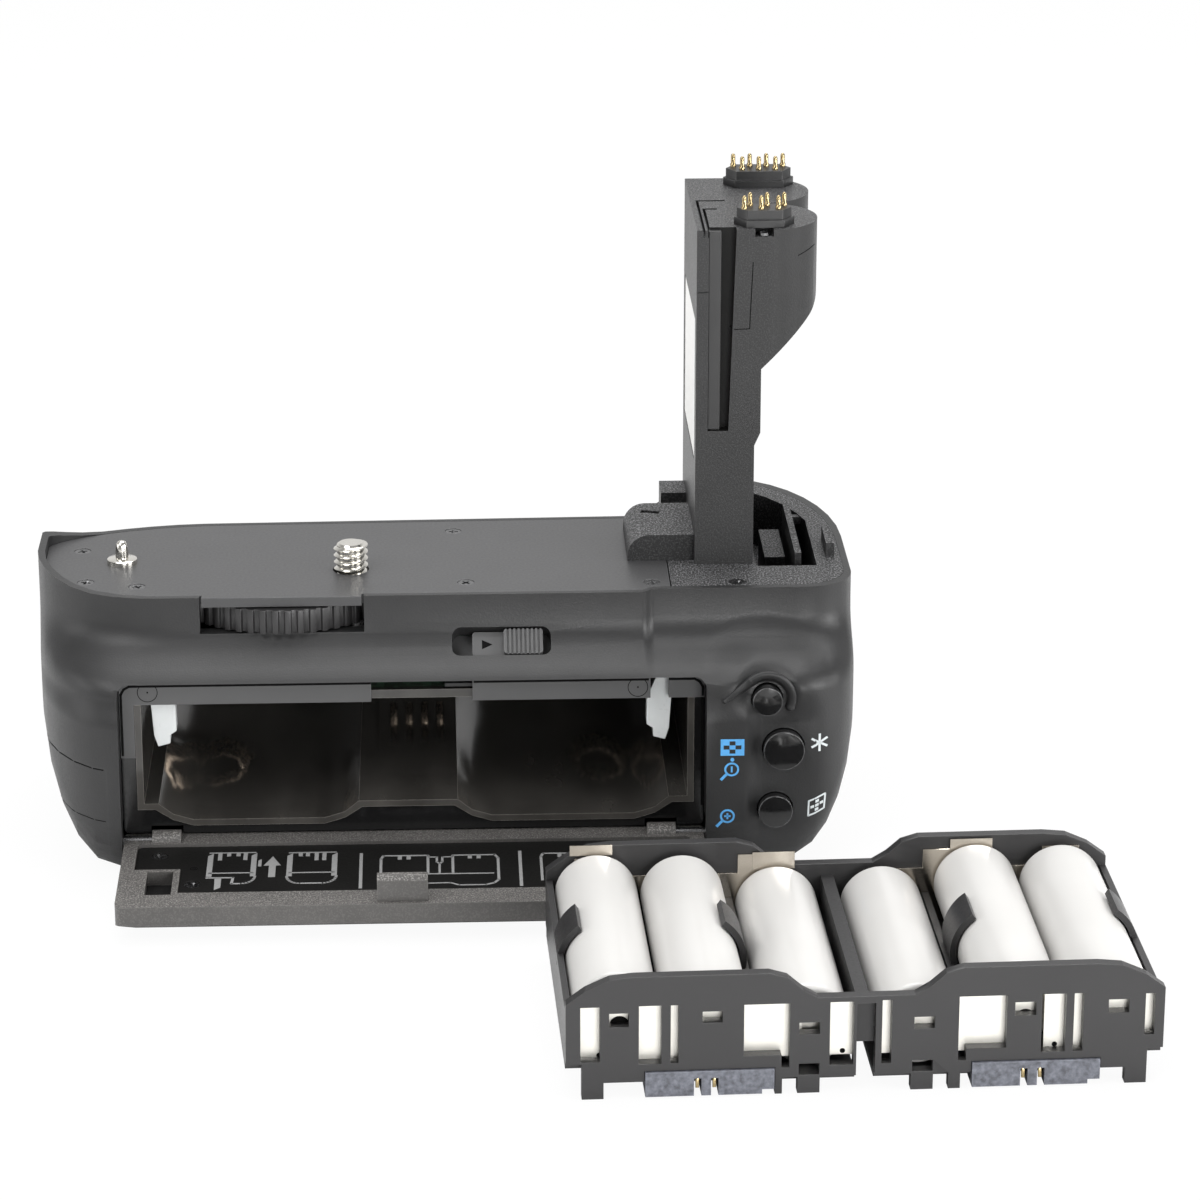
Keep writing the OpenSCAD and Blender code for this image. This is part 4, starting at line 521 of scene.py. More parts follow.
def piece(bm, name, body, finish, stands_for=(), crease=CREASE, flat_mm2=math.inf):
    for face in bm.faces:
        face.smooth = face.calc_area() < flat_mm2 * MM * MM
    for edge in bm.edges:
        edge.smooth = len(edge.link_faces) == 2 and edge.calc_face_angle(0) < math.radians(crease)
    obj = link_mesh(bm, name)
    obj.data.materials.append(finishes[finish] if isinstance(finish, str) else finish)
    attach(obj, body)
    if stands_for:
        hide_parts(*stands_for)
    return obj


def plain(node):
    bm = bmesh.new()
    bm.from_mesh(nodes[node].data)
    bmesh.ops.remove_doubles(bm, verts=bm.verts, dist=SAME_POINT)
    return bm


def merged(node):
    bm = plain(node)
    bmesh.ops.dissolve_limit(bm, angle_limit=COPLANAR, verts=bm.verts, edges=bm.edges)
    return bm


def sound(bm, share=0.002, floor_m2=1e-10):
    bm.normal_update()
    filled = dict.fromkeys(bm.faces, 0.0)
    for loops in bm.calc_loop_triangles():
        a, b, c = (loop.vert.co for loop in loops)
        filled[loops[0].face] += (b - a).cross(c - a).length / 2
    shut = all(len(e.link_faces) == 2 for e in bm.edges)
    return shut and all(area - f.calc_area() < share * f.calc_area() + floor_m2
                        for f, area in filled.items())


def softened(node, width_mm):
    for share in BEVEL_SHARES:
        width = width_mm * share
        bm = merged(node)
        before = abs(bm.calc_volume())
        low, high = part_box(node)
        ridges = [e for e in bm.edges if len(e.link_faces) == 2 and e.calc_face_angle(0) > SHARP
                  and e.calc_length() > LENGTH_IN_WIDTHS * width * MM]
        bmesh.ops.bevel(bm, geom=ridges, offset=width * MM, offset_type="OFFSET", segments=2, profile=0.5,
                        affect="EDGES", clamp_overlap=False, material=-1)
        inside = all(low[i] - BOX_SLACK < v.co[i] < high[i] + BOX_SLACK for v in bm.verts for i in range(3))
        if inside and sound(bm) and LEAST_VOLUME < abs(bm.calc_volume()) / before < MOST_VOLUME:
            return bm, width
        bm.free()
    return plain(node), 0


def dress(node, width_mm, crease):
    bm, width = softened(node, width_mm) if width_mm else (plain(node), 0)
    slot = slot_by_node[node]
    obj = piece(bm, node + "_finished", body_by_node[node], slot, [node], crease,
                FLAT_FACE_MM2 if width else math.inf)
    print(f"{node}: {len(obj.data.polygons)} faces, edge {width:.2f} mm")


# %% [markdown]
# ## Housing, plate, deck and stalk
# The shell's surface is a loft with many small facets. Smooth shading across them, with creases only
# at real edges, gives the rounded moulding. The plate, deck, stalk and door are made of flat faces,
# so their edges take a bevel of two to three tenths of a millimetre.

# %% Dress the large pieces
edge_widths = {
    "main_housing": 0, "base_cover": 0, "grip_skin": 0, "base_pad": 0.3, "tripod_bush": 0.2,
    "top_plate": 0.2, "terminal_deck": 0.3, "stalk_body": 0.3, "stalk_rail": 0.15, "stalk_label": 0.1,
    "mouth_frame": 0.2, "battery_chamber": 0.2, "contact_block": 0.25, "door_panel": 0.3,
    "door_inner_plate": 0.15, "door_skin": 0.25, "door_hook": 0.2, "release_slider": 0.12,
    "lock_lever_left": 0.3, "lock_lever_right": 0.3, "rear_connector": 0.2, "front_connector": 0.2,
    "tray_frame": 0.18, "tray_near_plate": 0.18, "tray_far_plate": 0.18, "near_strips": 0.06,
    "far_strips": 0.06, "terminal_blocks": 0.15, "thumb_wheel": 0.1, "control_dial": 0.12,
    "shutter_button": 0, "function_button": 0, "power_lever": 0.12, "latch_bar": 0.1, "hinge_pins": 0.1,
    "chamber_contacts": 0.08, "terminal_contacts": 0.05, "eject_spring_left": 0, "eject_spring_right": 0,
    "wheel_carrier": 0.1}
for node, width in edge_widths.items():
    dress(node, width, WIRE_CREASE if "spring" in node else CREASE)

# %% [markdown]
# ## Second finishes
# A slot names a group of nodes, and a few of them look different from the rest of their group. Inside
# a piece, a place can differ too: the mouth's inner faces are glossy, the faces inside the stalk's
# groove get a darker finish as painted shade, and the door's socket is dark. The faces are picked by
# where their centres lie.

# %% Give some pieces a second finish
def repaint(name, finish, chosen=lambda centre: True):
    mesh = bpy.data.objects[name].data
    mesh.materials.append(finishes[finish])
    for face in mesh.polygons:
        if chosen(face.center):
            face.material_index = len(mesh.materials) - 1


bar_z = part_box("battery_chamber")[1].z - 3.3 * MM
post_x, post_z, lip_y = -39.4 * MM, bar_z - 10.4 * MM, -19.7 * MM
repaint("mouth_frame_finished", "glossy",
        lambda c: c.z < bar_z and not (c.x < post_x and c.z > post_z) or c.y > lip_y)
second_finish = {
    "release_slider": "frame", "thumb_wheel": "tray", "latch_bar": "block", "chamber_contacts": "spring",
    "far_strips": "tab", "stalk_body": "stalk", "stalk_rail": "block"}
for node, finish in second_finish.items():
    repaint(node + "_finished", finish)
groove_left, groove_right = (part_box("stalk_body")[0].x + reach * MM for reach in (2.0, 7.4))
groove_near, groove_deep = 0.3 * MM, 2.4 * MM
# Painted shade: the faces inside the stalk's groove get the darker door plate finish, as the deep groove is
# in shade.
repaint("stalk_body_finished", "door_inner",
        lambda c: groove_left < c.x < groove_right and groove_near < c.y < groove_deep)
socket_left, socket_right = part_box("door_inner_plate")[0].x, -31.2 * MM
socket_front, socket_back, socket_top = -44 * MM, -37 * MM, -45.3 * MM
repaint("door_panel_finished", "glossy", lambda c: socket_left < c.x < socket_right
        and socket_front < c.y < socket_back and c.z < socket_top)
print("second finishes on", len(second_finish), "pieces, mouth, groove and socket")

# %% Give the inner pieces their finish
inner = ["wheel_retainer", "bearing_plate", "drive_pinion", "main_board", "lever_pins", "button_pad",
         "button_board", "dial_axle"]
for node in inner:
    nodes[node].data.materials.clear()
    nodes[node].data.materials.append(finishes[slot_by_node[node]])
print("inner pieces:", len(inner))

# %% [markdown]
# ## Camera screw
# The screw has a real thread, a quarter inch with twenty turns to the inch. A thread is a short
# profile that turns and climbs: spin does that when it gets a step along the axis. One pitch of the
# profile is spun past both ends, and two planes cut the ends flat. A cone makes the chamfered tip.

# %% Thread the camera screw
THREAD_WELD, CUT_SLACK, TURN_STEPS = 2e-6, 1e-7, 36


def threaded(radius, root, pitch, low, high):
    bm = bmesh.new()
    turns = math.ceil((high - low) / pitch) + 2
    start = low - pitch * 1.5
    crest = radius - 0.05 * MM
    outline = [(root, 0), (root, 0.14), (crest, 0.44), (radius, 0.5), (crest, 0.56), (root, 0.86),
               (root, 1)]
    points = [bm.verts.new((r, 0, start + k * pitch)) for r, k in outline]
    line = [bm.edges.new(pair) for pair in zip(points, points[1:])]
    bmesh.ops.spin(bm, geom=points + line, cent=(0, 0, 0), axis=(0, 0, 1), dvec=(0, 0, pitch / TURN_STEPS),
                   angle=math.tau * turns, steps=TURN_STEPS * turns, use_merge=False)
    bmesh.ops.remove_doubles(bm, verts=bm.verts, dist=THREAD_WELD)
    for height, way in ((low, -1), (high, 1)):
        bmesh.ops.bisect_plane(bm, geom=bm.verts[:] + bm.edges[:] + bm.faces[:], dist=CUT_SLACK,
                               plane_co=(0, 0, height), plane_no=(0, 0, way), clear_outer=True)
    rim = [e for e in bm.edges if e.is_boundary]
    bmesh.ops.holes_fill(bm, edges=rim, sides=0)
    bmesh.ops.recalc_face_normals(bm, faces=bm.faces)
    return bm


def cone(radius1, radius2, depth, segments, middle=0.0):
    bm = bmesh.new()
    bmesh.ops.create_cone(bm, cap_ends=True, segments=segments, radius1=radius1, radius2=radius2,
                          depth=depth)
    bmesh.ops.translate(bm, verts=bm.verts, vec=(0, 0, middle))
    return bm


screw_low, screw_high = (corner.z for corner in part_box("camera_screw"))
RADIUS, ROOT, PITCH = 3.17 * MM, 2.55 * MM, 1.27 * MM
TIP, TIP_WIDE, TIP_NARROW, SHANK_FOOT = 0.6 * MM, 2.62 * MM, 2.1 * MM, 2.0 * MM
thread_low, thread_high, shank_high = -1.6 * MM, screw_high - 0.35 * MM, -1.5 * MM
screw = piece(threaded(RADIUS, ROOT, PITCH, thread_low, thread_high),
              "camera_screw_thread", "screw", "nickel", ["camera_screw"], crease=30)
piece(cone(TIP_WIDE, TIP_NARROW, TIP, 48, screw_high - TIP / 2),
      "camera_screw_tip", "screw", "nickel")
piece(cone(SHANK_FOOT, ROOT, shank_high - screw_low, 40, (screw_low + shank_high) / 2),
      "camera_screw_shank", "screw", "nickel")
print("thread", len(screw.data.polygons), "faces")

# %% [markdown]
# ## Small screws
# Each small screw has a flat head with a cross recess. The head starts as a disc with a cross-shaped
# hole. The edge of the hole is drawn down, narrowed and closed, and so is the rim, down to its seat.

# %% Screws of plate, deck, door and stalk
def cross_head(radius, height, turn):
    bm = bmesh.new()
    arm, reach, sink, taper = radius * 0.17, radius * 0.62, height * 0.55, 0.72
    bmesh.ops.create_circle(bm, segments=32, radius=radius)
    corners = [(arm, reach), (arm, arm), (reach, arm), (reach, -arm), (arm, -arm), (arm, -reach),
               (-arm, -reach), (-arm, -arm), (-reach, -arm), (-reach, arm), (-arm, arm), (-arm, reach)]
    cross = [bm.verts.new((x, y, 0)) for x, y in corners]
    ring = [bm.edges.new((cross[i], cross[i - 1])) for i in range(12)]
    outer = [e for e in bm.edges if e not in ring]
    bmesh.ops.bridge_loops(bm, edges=outer + ring)
    bmesh.ops.rotate(bm, verts=bm.verts, matrix=Matrix.Rotation(turn, 3, "Z"))
    sunk = bmesh.ops.extrude_edge_only(bm, edges=ring)["geom"]
    floor_verts = [g for g in sunk if isinstance(g, bmesh.types.BMVert)]
    bmesh.ops.translate(bm, verts=floor_verts, vec=(0, 0, -sink))
    bmesh.ops.scale(bm, verts=floor_verts, vec=(taper, taper, 1))
    hole = [e for e in bm.edges if e.is_boundary and e.verts[0] in floor_verts]
    bmesh.ops.holes_fill(bm, edges=hole, sides=0)
    skirt = bmesh.ops.extrude_edge_only(bm, edges=[e for e in bm.edges if e.is_boundary])["geom"]
    skirt_verts = [g for g in skirt if isinstance(g, bmesh.types.BMVert)]
    bmesh.ops.translate(bm, verts=skirt_verts, vec=(0, 0, -height))
    bmesh.ops.holes_fill(bm, edges=[e for e in bm.edges if e.is_boundary], sides=0)
    bmesh.ops.recalc_face_normals(bm, faces=bm.faces)
    return bm


def gathered(parts):
    bm = bmesh.new()
    for part, place in parts:
        bmesh.ops.transform(part, verts=part.verts, matrix=place)
        mesh = bpy.data.meshes.new("gathered")
        part.to_mesh(mesh)
        part.free()
        bm.from_mesh(mesh)
        bpy.data.meshes.remove(mesh)
    return bm


def solid_tops(node):
    bm = merged(node)
    tops = []
    while bm.verts:
        start = next(iter(bm.verts))
        group, frontier = {start}, [start]
        while frontier:
            v = frontier.pop()
            for e in v.link_edges:
                w = e.other_vert(v)
                if w not in group:
                    group.add(w)
                    frontier.append(w)
        xs, ys, zs = zip(*(v.co for v in group))
        tops.append(Vector(((min(xs) + max(xs)) / 2, (min(ys) + max(ys)) / 2, max(zs))))
        bmesh.ops.delete(bm, geom=list(group), context="VERTS")
    bm.free()
    return tops


FIRST_TURN, NEXT_TURN = 0.35, 0.9
for name, node, radius, height in [("plate_screw_heads", "plate_screws", 1.48, 0.8),
                                   ("door_screw_heads", "door_screws", 1.48, 0.8),
                                   ("stalk_screw_head", "stalk_screw", 1.08, 0.5)]:
    heads = [(cross_head(radius * MM, height * MM, FIRST_TURN + NEXT_TURN * i), Matrix.Translation(top))
             for i, top in enumerate(solid_tops(node))]
    piece(gathered(heads), name, body_by_node[node], "steel", [node], crease=25)
    print(name, len(heads))

# %% [markdown]
# ## Contact pins
# The stalk carries its gold pins in two rows on each block. A pin is a turned plunger: a short collar,
# a thinner shank and a rounded tip, so it is one small profile spun about its own axis.

# %% Turn the contact pins
AXIS_WELD = 1e-6


def turned(outline_mm, segments=20):
    bm = bmesh.new()
    points = [bm.verts.new((r * MM, 0, z * MM)) for r, z in outline_mm]
    line = [bm.edges.new(pair) for pair in zip(points, points[1:])]
    bmesh.ops.spin(bm, geom=points + line, cent=(0, 0, 0), axis=(0, 0, 1), angle=math.tau, steps=segments,
                   use_merge=True)
    bmesh.ops.remove_doubles(bm, verts=bm.verts, dist=AXIS_WELD)
    bmesh.ops.recalc_face_normals(bm, faces=bm.faces)
    return bm


plunger = [(0, 0), (0.55, 0), (0.55, 0.5), (0.42, 0.62), (0.42, 1.95), (0.40, 2.15), (0.30, 2.35),
           (0.16, 2.46), (0, 2.5)]
for node in ("rear_pins", "front_pins"):
    feet = [Vector((p.x, p.y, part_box(node)[0].z)) for p in solid_tops(node)]
    pins = gathered([(turned(plunger), Matrix.Translation(foot)) for foot in feet])
    piece(pins, node + "_turned", "housing", "gold", [node], crease=50)
    print(node, len(feet))

# %% [markdown]
# ## Locating pin and rear buttons
# The locating pin has a broad foot, a shank and a domed tip that leads it into the camera. Each rear
# button has a nearly flat crown, a tight rim and a flange that keeps it behind the shell. All are
# turned like the contact pins, from an outline that takes its sizes from the node's box.

# %% Turn the locating pin
low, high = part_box("locating_pin")
base, foot, tip = (high.x - low.x) / 2 / MM, low.z / MM, high.z / MM
peg = [(0, tip), (0.35, tip - 0.03), (0.75, tip - 0.25), (1.0, tip - 0.8), (1.12, tip - 1.5),
       (1.2, tip - 2.1), (1.2, 1.05), (base - 0.2, 0.95), (base - 0.05, 0.85), (base, 0.6), (base, 0.0),
       (1.2, 0.0), (1.2, foot), (0, foot)]
place = Matrix.Translation(((low.x + high.x) / 2, (low.y + high.y) / 2, 0))
piece(gathered([(turned(peg, 40), place)]), "locating_pin_turned", "housing", "nickel",
      ["locating_pin"], crease=40)
print("locating pin", len(peg), "rings")

# %% Turn the rear buttons
FLANGE, RIM, THICK, CROWN = 0.9, 0.22, 0.8, 0.3
bend_steps = [math.radians(15 * k) for k in range(7)]
rear_buttons = ("button_top", "button_middle", "button_low")
for node in rear_buttons:
    low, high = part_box(node)
    r, head = (high.x - low.x) / 2 / MM - FLANGE, (high.y - low.y) / MM
    crown = [(0, head - 0.02), (r * 0.3, head - 0.05), (r * 0.6, head - 0.14),
             (r - RIM - 0.25, head - 0.26)]
    bend = [(r - RIM + RIM * math.sin(a), head - CROWN - RIM + RIM * math.cos(a)) for a in bend_steps]
    skirt = [(r, THICK), (r + FLANGE, THICK), (r + FLANGE, 0), (0, 0)]
    middle = Matrix.Translation(((low.x + high.x) / 2, high.y, (low.z + high.z) / 2))
    button = gathered([(turned(crown + bend + skirt, 56), middle @ Matrix.Rotation(QUARTER_TURN, 4, "X"))])
    piece(button, node + "_turned", body_by_node[node], "button", [node], crease=50)
print("rear buttons", len(rear_buttons))

# %% [markdown]
# ## Cells
# Each cell is a steel can in a white sleeve that shrank round its shoulders. The sleeve is a turned
# tube with soft shoulders, and the bare steel shows at both ends, with the button at one of them.

# %% Turn the cells
R, L = 7.18, 50.5
sleeve_outline = [(R - 1.5, 0.0), (R - 0.8, 0.02), (R - 0.3, 0.2), (R - 0.06, 0.55), (R, 1.0), (R, 25.0),
                  (R, L - 2.0), (R - 0.06, L - 1.6), (R - 0.3, L - 1.22), (R - 0.8, L - 1.04),
                  (R - 1.5, L - 1.02)]
can_outline = [(0, 0.12), (R - 1.9, 0.12), (R - 1.4, 0.3), (R - 1.4, L - 1.3), (R - 1.9, L - 1.15),
               (3.1, L - 1.15), (2.75, L - 0.9), (2.7, L - 0.2), (2.5, L), (0, L)]
tray_place = Matrix.Translation((83.3 * MM, -61.6 * MM, 0)) @ Matrix.Rotation(math.radians(1.7), 4, "Z")


def in_tray(x, y, z):
    return tray_place @ Matrix.Translation((x * MM, y * MM, z * MM))


cell_places = [(-40.65, -38.1), (-25.78, -38.1), (-9.13, -41.2),
               (9.13, -41.2), (25.78, -38.1), (40.65, -38.1)]
sleeves, cans = [], []
for i, (x, z) in enumerate(cell_places):
    y, turn = (0, QUARTER_TURN) if i % 2 == 0 else (-L, -QUARTER_TURN)
    place = in_tray(x, y, z) @ Matrix.Rotation(turn, 4, "X")
    sleeves.append((turned(sleeve_outline, 56), place))
    cans.append((turned(can_outline, 40), place))
piece(gathered(sleeves), "cell_sleeves", "tray", "cell", ["battery_cells"], crease=60)
piece(gathered(cans), "cell_cans", "tray", "strip", crease=40)
print("cells", len(cell_places))

# %% [markdown]
# ## Ends and folds of the strips
# The nickel strips that join the cells end in rounded tongues at the near plate. At the far plate they
# are folded up, and the folds stand above the tray's edge behind the cells.

# %% Make the strip ends and folds
NEAR_Y, FOLD_Y = -51.45, 0.35
moons = []
for x, z in ((-8.8, -49.6), (9.8, -49.6)):
    moons.append((cone(1.15 * MM, 1.15 * MM, 0.2 * MM, 32),
                  in_tray(x, NEAR_Y, z) @ Matrix.Rotation(QUARTER_TURN, 4, "X")))
piece(gathered(moons), "near_strip_ends", "tray", "strip")
folds = []
for x, z, height in ((-41.4, -30.4, 1.9), (-9.5, -33.2, 3.2), (25.2, -31.1, 1.9)):
    fold = bmesh.new()
    bmesh.ops.create_cube(fold, size=MM)
    bmesh.ops.scale(fold, verts=fold.verts, vec=(7.4, 0.25, height))
    folds.append((fold, in_tray(x, FOLD_Y, z)))
piece(gathered(folds), "far_strip_folds", "tray", "tab")
print("strip ends", len(moons), "folds", len(folds))

# %% [markdown]
# ## Prints
# The rear of the shell carries small printed signs beside the buttons, the door carries a picture of
# how the tray goes in, and the slider has an arrow. A print is a thin film of ink. Each sign is drawn
# flat in millimetres from strokes and discs, laid onto the surface by a ray, and given the thickness
# of the ink. A long stroke is cut into short steps, so that it can follow a curved surface.

# %% Helpers that draw with ink
STROKE_STEP = 0.6
INK_FILM, INK_LIFT, RAY_START = 0.03 * MM, 0.004 * MM, 20 * MM
REAR_Y = -26 * MM


def ink(name, colour, roughness=0.5, specular=0.5):
    f = Finish(name, colour, roughness, specular=specular)
    wear = f.remap(f.noise(0.6, 3), 0.35, 0.75)
    f.colour(f.mix(wear, colour, shade_of(colour, 0.86)))
    f.bump(f.noise(0.3, 2), 0.008, 0.4)
    return f.material


blue_ink = ink("blue_ink", (0.09, 0.36, 0.72))
white_ink = ink("white_ink", (0.62, 0.66, 0.67))
grey_ink = ink("grey_ink", (0.26, 0.26, 0.26))
black_ink = ink("black_ink", (0.006, 0.006, 0.006), 0.9, 0.05)


def stroke(bm, a, b, width):
    a, b = Vector((*a, 0)), Vector((*b, 0))
    along = b - a
    steps = max(1, round(along.length / STROKE_STEP))
    quad = bmesh.ops.create_grid(bm, x_segments=steps, y_segments=1, size=0.5)["verts"]
    turn = Matrix.Rotation(math.atan2(along.y, along.x), 4, "Z")
    size = Matrix.Diagonal((along.length + width * 0.5, width, 1, 1))
    bmesh.ops.transform(bm, verts=quad, matrix=Matrix.Translation((a + b) / 2) @ turn @ size)


def strokes(bm, points, width, shut=False):
    for a, b in zip(points, points[1:] + points[:1] if shut else points[1:]):
        stroke(bm, a, b, width)


def disc(bm, centre, radius, segments=20):
    verts = bmesh.ops.create_circle(bm, cap_ends=True, segments=segments, radius=radius)["verts"]
    bmesh.ops.translate(bm, verts=verts, vec=(*centre, 0))


def ring(bm, centre, radius, width):
    verts = [v for r in (radius + width / 2, radius - width / 2)
             for v in bmesh.ops.create_circle(bm, segments=32, radius=r)["verts"]]
    bmesh.ops.bridge_loops(bm, edges=list(dict.fromkeys(e for v in verts for e in v.link_edges)))
    bmesh.ops.translate(bm, verts=verts, vec=(*centre, 0))


def panel(bm, centre, width, height):
    quad = bmesh.ops.create_grid(bm, x_segments=1, y_segments=1, size=0.5)["verts"]
    size = Matrix.Diagonal((width, height, 1, 1))
    bmesh.ops.transform(bm, verts=quad, matrix=Matrix.Translation((*centre, 0)) @ size)


def patch(bm, corners):
    bm.faces.new([bm.verts.new((*corner, 0)) for corner in corners])


surface = {}


def surface_of(node):
    if node not in surface:
        mesh = nodes[node].data
        surface[node] = BVHTree.FromPolygons([v.co for v in mesh.vertices],
                                             [p.vertices for p in mesh.polygons])
    return surface[node]


def printed(bm, name, node, body, place, material):
    bmesh.ops.transform(bm, verts=bm.verts, matrix=place @ Matrix.Diagonal((MM, MM, MM, 1)))
    way = -(place.to_3x3() @ Vector((0, 0, 1))).normalized()
    tree = surface_of(node)
    missed = []
    for v in bm.verts:
        hit = tree.ray_cast(v.co - way * RAY_START, way)[0]
        if hit:
            v.co = hit - way * INK_LIFT
        else:
            missed.append(v)
    bmesh.ops.delete(bm, geom=missed, context="VERTS")
    bmesh.ops.recalc_face_normals(bm, faces=bm.faces)
    for f in bm.faces:
        if f.normal.dot(way) > 0:
            f.normal_flip()
    bmesh.ops.solidify(bm, geom=bm.faces[:], thickness=-INK_FILM)
    obj = piece(bm, name, body, material, crease=30)
    print(name, len(obj.data.polygons), "faces")


def rear_place(x=0, z=0):
    return Matrix.Translation((x * MM, REAR_Y, z * MM)) @ Matrix.Rotation(QUARTER_TURN, 4, "X")


# %% Signs beside the rear buttons
grid_bm = bmesh.new()
column, row = 1.08, 0.80
for r in range(-2, 3):
    for c in range(-2, 3):
        if abs(r) + abs(c) != 1:
            edge_x, edge_z = abs(c) == 2, abs(r) == 2
            centre = (c * column - math.copysign(column / 4, c) * edge_x,
                      r * row - math.copysign(row / 4, r) * edge_z)
            panel(grid_bm, centre, column * (0.5 if edge_x else 1), row * (0.5 if edge_z else 1))
disc(grid_bm, (0, -2.4), 0.36)
printed(grid_bm, "grid_sign", "main_housing", "housing", rear_place(69.1, -26.6), blue_ink)
for name, x, z, plus in (("less_sign", 69.0, -30.9, False), ("more_sign", 68.3, -40.1, True)):
    lens_bm = bmesh.new()
    ring(lens_bm, (0, 0), 1.18, 0.36)
    stroke(lens_bm, (-0.95, -0.95), (-1.9, -1.95), 0.5)
    stroke(lens_bm, (0, -0.5), (0, 0.5), 0.34)
    if plus:
        stroke(lens_bm, (-0.5, 0), (0.5, 0), 0.34)
    printed(lens_bm, name, "main_housing", "housing", rear_place(x, z), blue_ink)
star_bm = bmesh.new()
for k in range(3):
    a = math.radians(90 + 60 * k)
    x, z = 1.6 * math.cos(a), 1.6 * math.sin(a)
    stroke(star_bm, (-x, -z), (x, z), 0.42)
printed(star_bm, "star_sign", "main_housing", "housing", rear_place(85.0, -26.0), white_ink)
spread_bm = bmesh.new()
strokes(spread_bm, [(-1.6, -2.0), (1.35, -0.8), (1.55, 2.1), (-1.5, 0.9)], 0.32, True)
for x, z in ((0, 0.05), (0.05, 0.85), (-0.05, -0.75), (-0.85, -0.25), (0.85, 0.45)):
    left, right = x - 0.33, x + 0.33
    patch(spread_bm, [(left, z - 0.38), (right, z - 0.14), (right, z + 0.38), (left, z + 0.14)])
printed(spread_bm, "focus_sign", "main_housing", "housing", rear_place(84.7, -38.3), white_ink)

# %% [markdown]
# ## Loading picture
# The picture shows what goes into the chamber and which way round: upright columns, rounded ends,
# contact teeth and an arrow. Fine lines are a little thinner than the bold outlines.

# %% Picture on the door
FINE, BOLD = 0.42, 0.5
door_top = Matrix.Translation((0, 0, -44.9 * MM))


def column_pair(bm, left, right, high, low):
    for x in (left, right):
        patch(bm, [(x - 0.5, low), (x + 0.5, low), (x + 0.5, high - 0.3), (x - 0.5, high - 1.4)])


def teeth(bm, high, places):
    for x, length in places:
        panel(bm, (x, high - length / 2), 0.75, length)


picture = bmesh.new()
for left, right, high, low in ((-25.9, -18.0, -27.0, -36.2), (-11.5, -3.4, -27.4, -36.5)):
    column_pair(picture, left, right, high, low - 1.6)
    strokes(picture, [(left - 0.2, high), (right + 0.2, high)], FINE)
    stroke(picture, (left, low), (right, low), FINE)
    bend = [(right + 0.4 - 2.4 * (1 - math.cos(a)), low - 1.6 - 3.2 * math.sin(a))
            for a in bend_steps]
    if left < -20:
        strokes(picture, bend + [(-21.7, bend[-1][1]), (-21.5, -38.3), (left - 0.4, -38.3)], BOLD)
    else:
        back = [(left + right - x, y) for x, y in reversed(bend)]
        strokes(picture, bend + back, BOLD)
teeth(picture, -27.2, [(-24.2, 3.2), (-22.6, 1.4), (-20.9, 1.4), (-19.6, 3.2)])
teeth(picture, -27.6, [(-9.6, 1.5), (-8.3, 1.5), (-6.7, 3.4), (-5.3, 3.4)])
patch(picture, [(-24.8, -38.4), (-23.6, -38.4), (-23.6, -42.7), (-24.7, -43.7)])
patch(picture, [(-17.2, -33.4), (-16.6, -33.4), (-16.6, -30.2), (-17.2, -30.8)])
patch(picture, [(-16.2, -33.1), (-13.1, -33.1), (-14.6, -29.0)])
panel(picture, (-14.6, -35.7), 1.25, 5.2)
for x in (1.4, 30.2):
    stroke(picture, (x, -28.3), (x, -43.9), 0.6)
for left in (5.0, 34.0):
    x0, x1, x2, x3 = (left + reach for reach in (0.4, 8.5, 13.0, 20.6))
    strokes(picture, [(left, -41.6), (left, -30.9), (x0, -29.5), (x1, -29.6), (x1, -37.6)], BOLD)
    strokes(picture, [(x1, -30.4), (left + 10.1, -30.4), (left + 10.1, -32.6), (left + 10.6, -33.4),
                      (left + 10.6, -37.8)], FINE)
    strokes(picture, [(left + 10.6, -33.4), (left + 11.1, -32.6), (left + 11.1, -30.4), (x2, -30.4)], FINE)
    strokes(picture, [(x2, -37.6), (x2, -29.7), (x3, -29.7), (left + 21.2, -31.2), (left + 21.2, -41.0),
                      (left + 20.4, -42.4), (left + 18.9, -43.2)], BOLD)
    stroke(picture, (left + 7.5, -38.0), (left + 20.3, -38.1), FINE)
    teeth(picture, -29.8, [(left + 3.4, 1.5), (left + 5.0, 1.5), (left + 16.1, 1.5), (left + 17.7, 1.5)])
strokes(picture, [(9.9, -43.2), (13.0, -43.1), (13.4, -42.2), (17.5, -42.1), (19.1, -43.2),
                  (23.9, -43.2)], FINE)
printed(picture, "door_picture", "door_inner_plate", "door", door_top, grey_ink)
# Painted shade: the dimple in the door plate is a black disc and ring of ink.
dimple_shade = bmesh.new()
disc(dimple_shade, (-28.7, -34.0), 0.42)
ring(dimple_shade, (-28.7, -34.0), 0.62, 0.16)
printed(dimple_shade, "door_dimple_shade", "door_inner_plate", "door", door_top, black_ink)

# %% [markdown]
# ## Seams, marks and painted shadow
# Seams between mouldings and the marks of the mould's ejector pins are thin dark lines. The gap round
# the mouth's frame gets a dark line of painted shadow. They are drawn with black ink on the surface in
# the same way, and so are the welds of the near strips and their holes, which are black discs of
# painted shade.

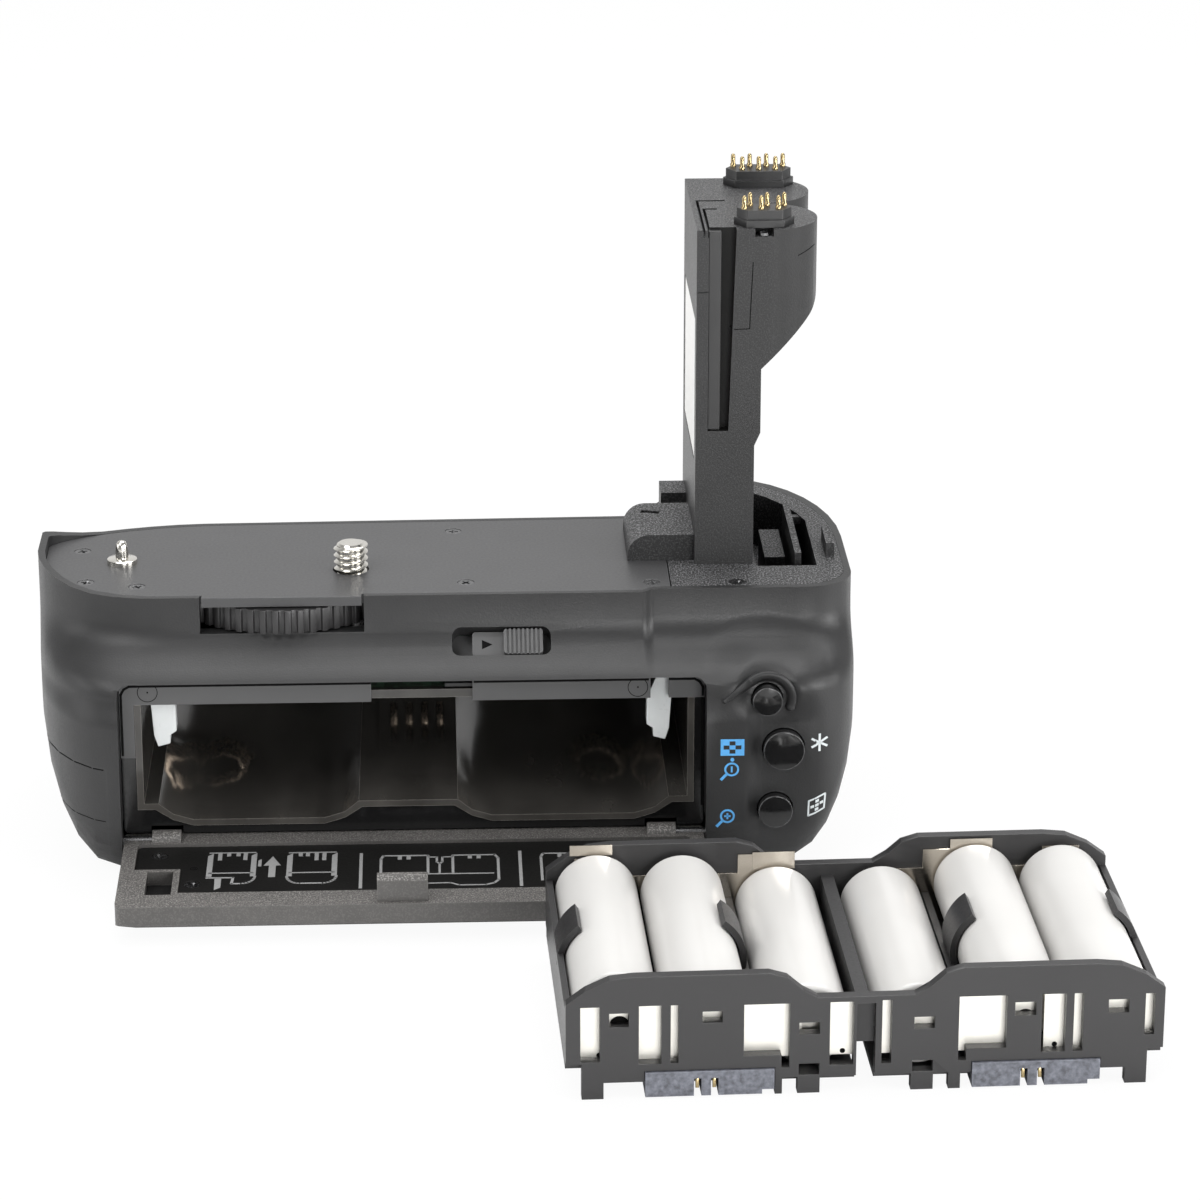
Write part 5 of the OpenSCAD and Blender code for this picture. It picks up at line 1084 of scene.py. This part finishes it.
# %% Arrow, seams, mould marks and the painted gap shadow
arrow_bm = bmesh.new()
patch(arrow_bm, [(-0.95, -0.65), (-0.95, 0.65), (0.95, 0)])
printed(arrow_bm, "slider_arrow", "release_slider", "slider", rear_place(24.8, -9.3), black_ink)
seams = bmesh.new()
strokes(seams, [(-58.5, -29.9), (-40.9, -29.9)], 0.22)
strokes(seams, [(-56.5, -40.0), (-40.9, -40.0)], 0.14)
printed(seams, "shell_seams", "base_cover", "housing", rear_place(), black_ink)
marks_and_gap_shadow = bmesh.new()
for x, z in ((-36.9, -16.2), (52.1, -16.5)):
    ring(marks_and_gap_shadow, (x, z), 1.8, 0.13)
    disc(marks_and_gap_shadow, (x, z), 0.16)
low, high = (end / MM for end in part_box("mouth_frame"))
# Painted shadow: a black line on the frame along its top and sides, where the gap round the mouth is in
# shade.
gap_shadow_z = -15.0
corner = [(0.35, gap_shadow_z - 1.6), (0.9, gap_shadow_z - 0.6), (1.9, gap_shadow_z)]
left_gap_shadow = [(low.x + 0.35, -28.4)] + [(low.x + x, z) for x, z in corner]
right_gap_shadow = [(high.x - x, z) for x, z in reversed(corner)] + [(high.x - 0.35, -40)]
strokes(marks_and_gap_shadow, left_gap_shadow + right_gap_shadow, 0.45)
printed(marks_and_gap_shadow, "mould_marks_and_gap_shadow", "mouth_frame", "housing", rear_place(), black_ink)
stalk_lines = bmesh.new()
strokes(stalk_lines, [(73.7, 57.7), (73.2, 45.2), (69.8, 45.1)], 0.16)
strokes(stalk_lines, [(82.0, 58.4), (85.2, 59.4)], 0.16)
printed(stalk_lines, "stalk_seams", "stalk_body", "housing", rear_place(), black_ink)

# %% Painted shade of the holes, and the welds of the near strips
tray_front = in_tray(0, -60, 0) @ Matrix.Rotation(QUARTER_TURN, 4, "X")
hole_places = [(-40.3, -39.2), (26.5, -40.1)]
weld_places = [(-3.6, -45.0), (31.5, -45.0), (47.4, -43.8), (-43.6, -44.5)]
# The holes are black discs of painted shade standing in for open holes; the welds are dark marks of their
# own.
for name, radius, places in (("strip_hole_shade", 1.65, hole_places), ("strip_welds", 0.45, weld_places)):
    dots = bmesh.new()
    for place in places:
        disc(dots, place, radius, 28)
    printed(dots, name, "near_strips", "tray", tray_front, black_ink)

# %% [markdown]
# ## Size of the dressed part
# The box of the dressed part is printed, to set beside the box of the CAD part printed at the start.

# %% Print the box of the dressed part
low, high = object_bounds()
print("visual box in mm", [round(v / MM, 1) for v in high - low])
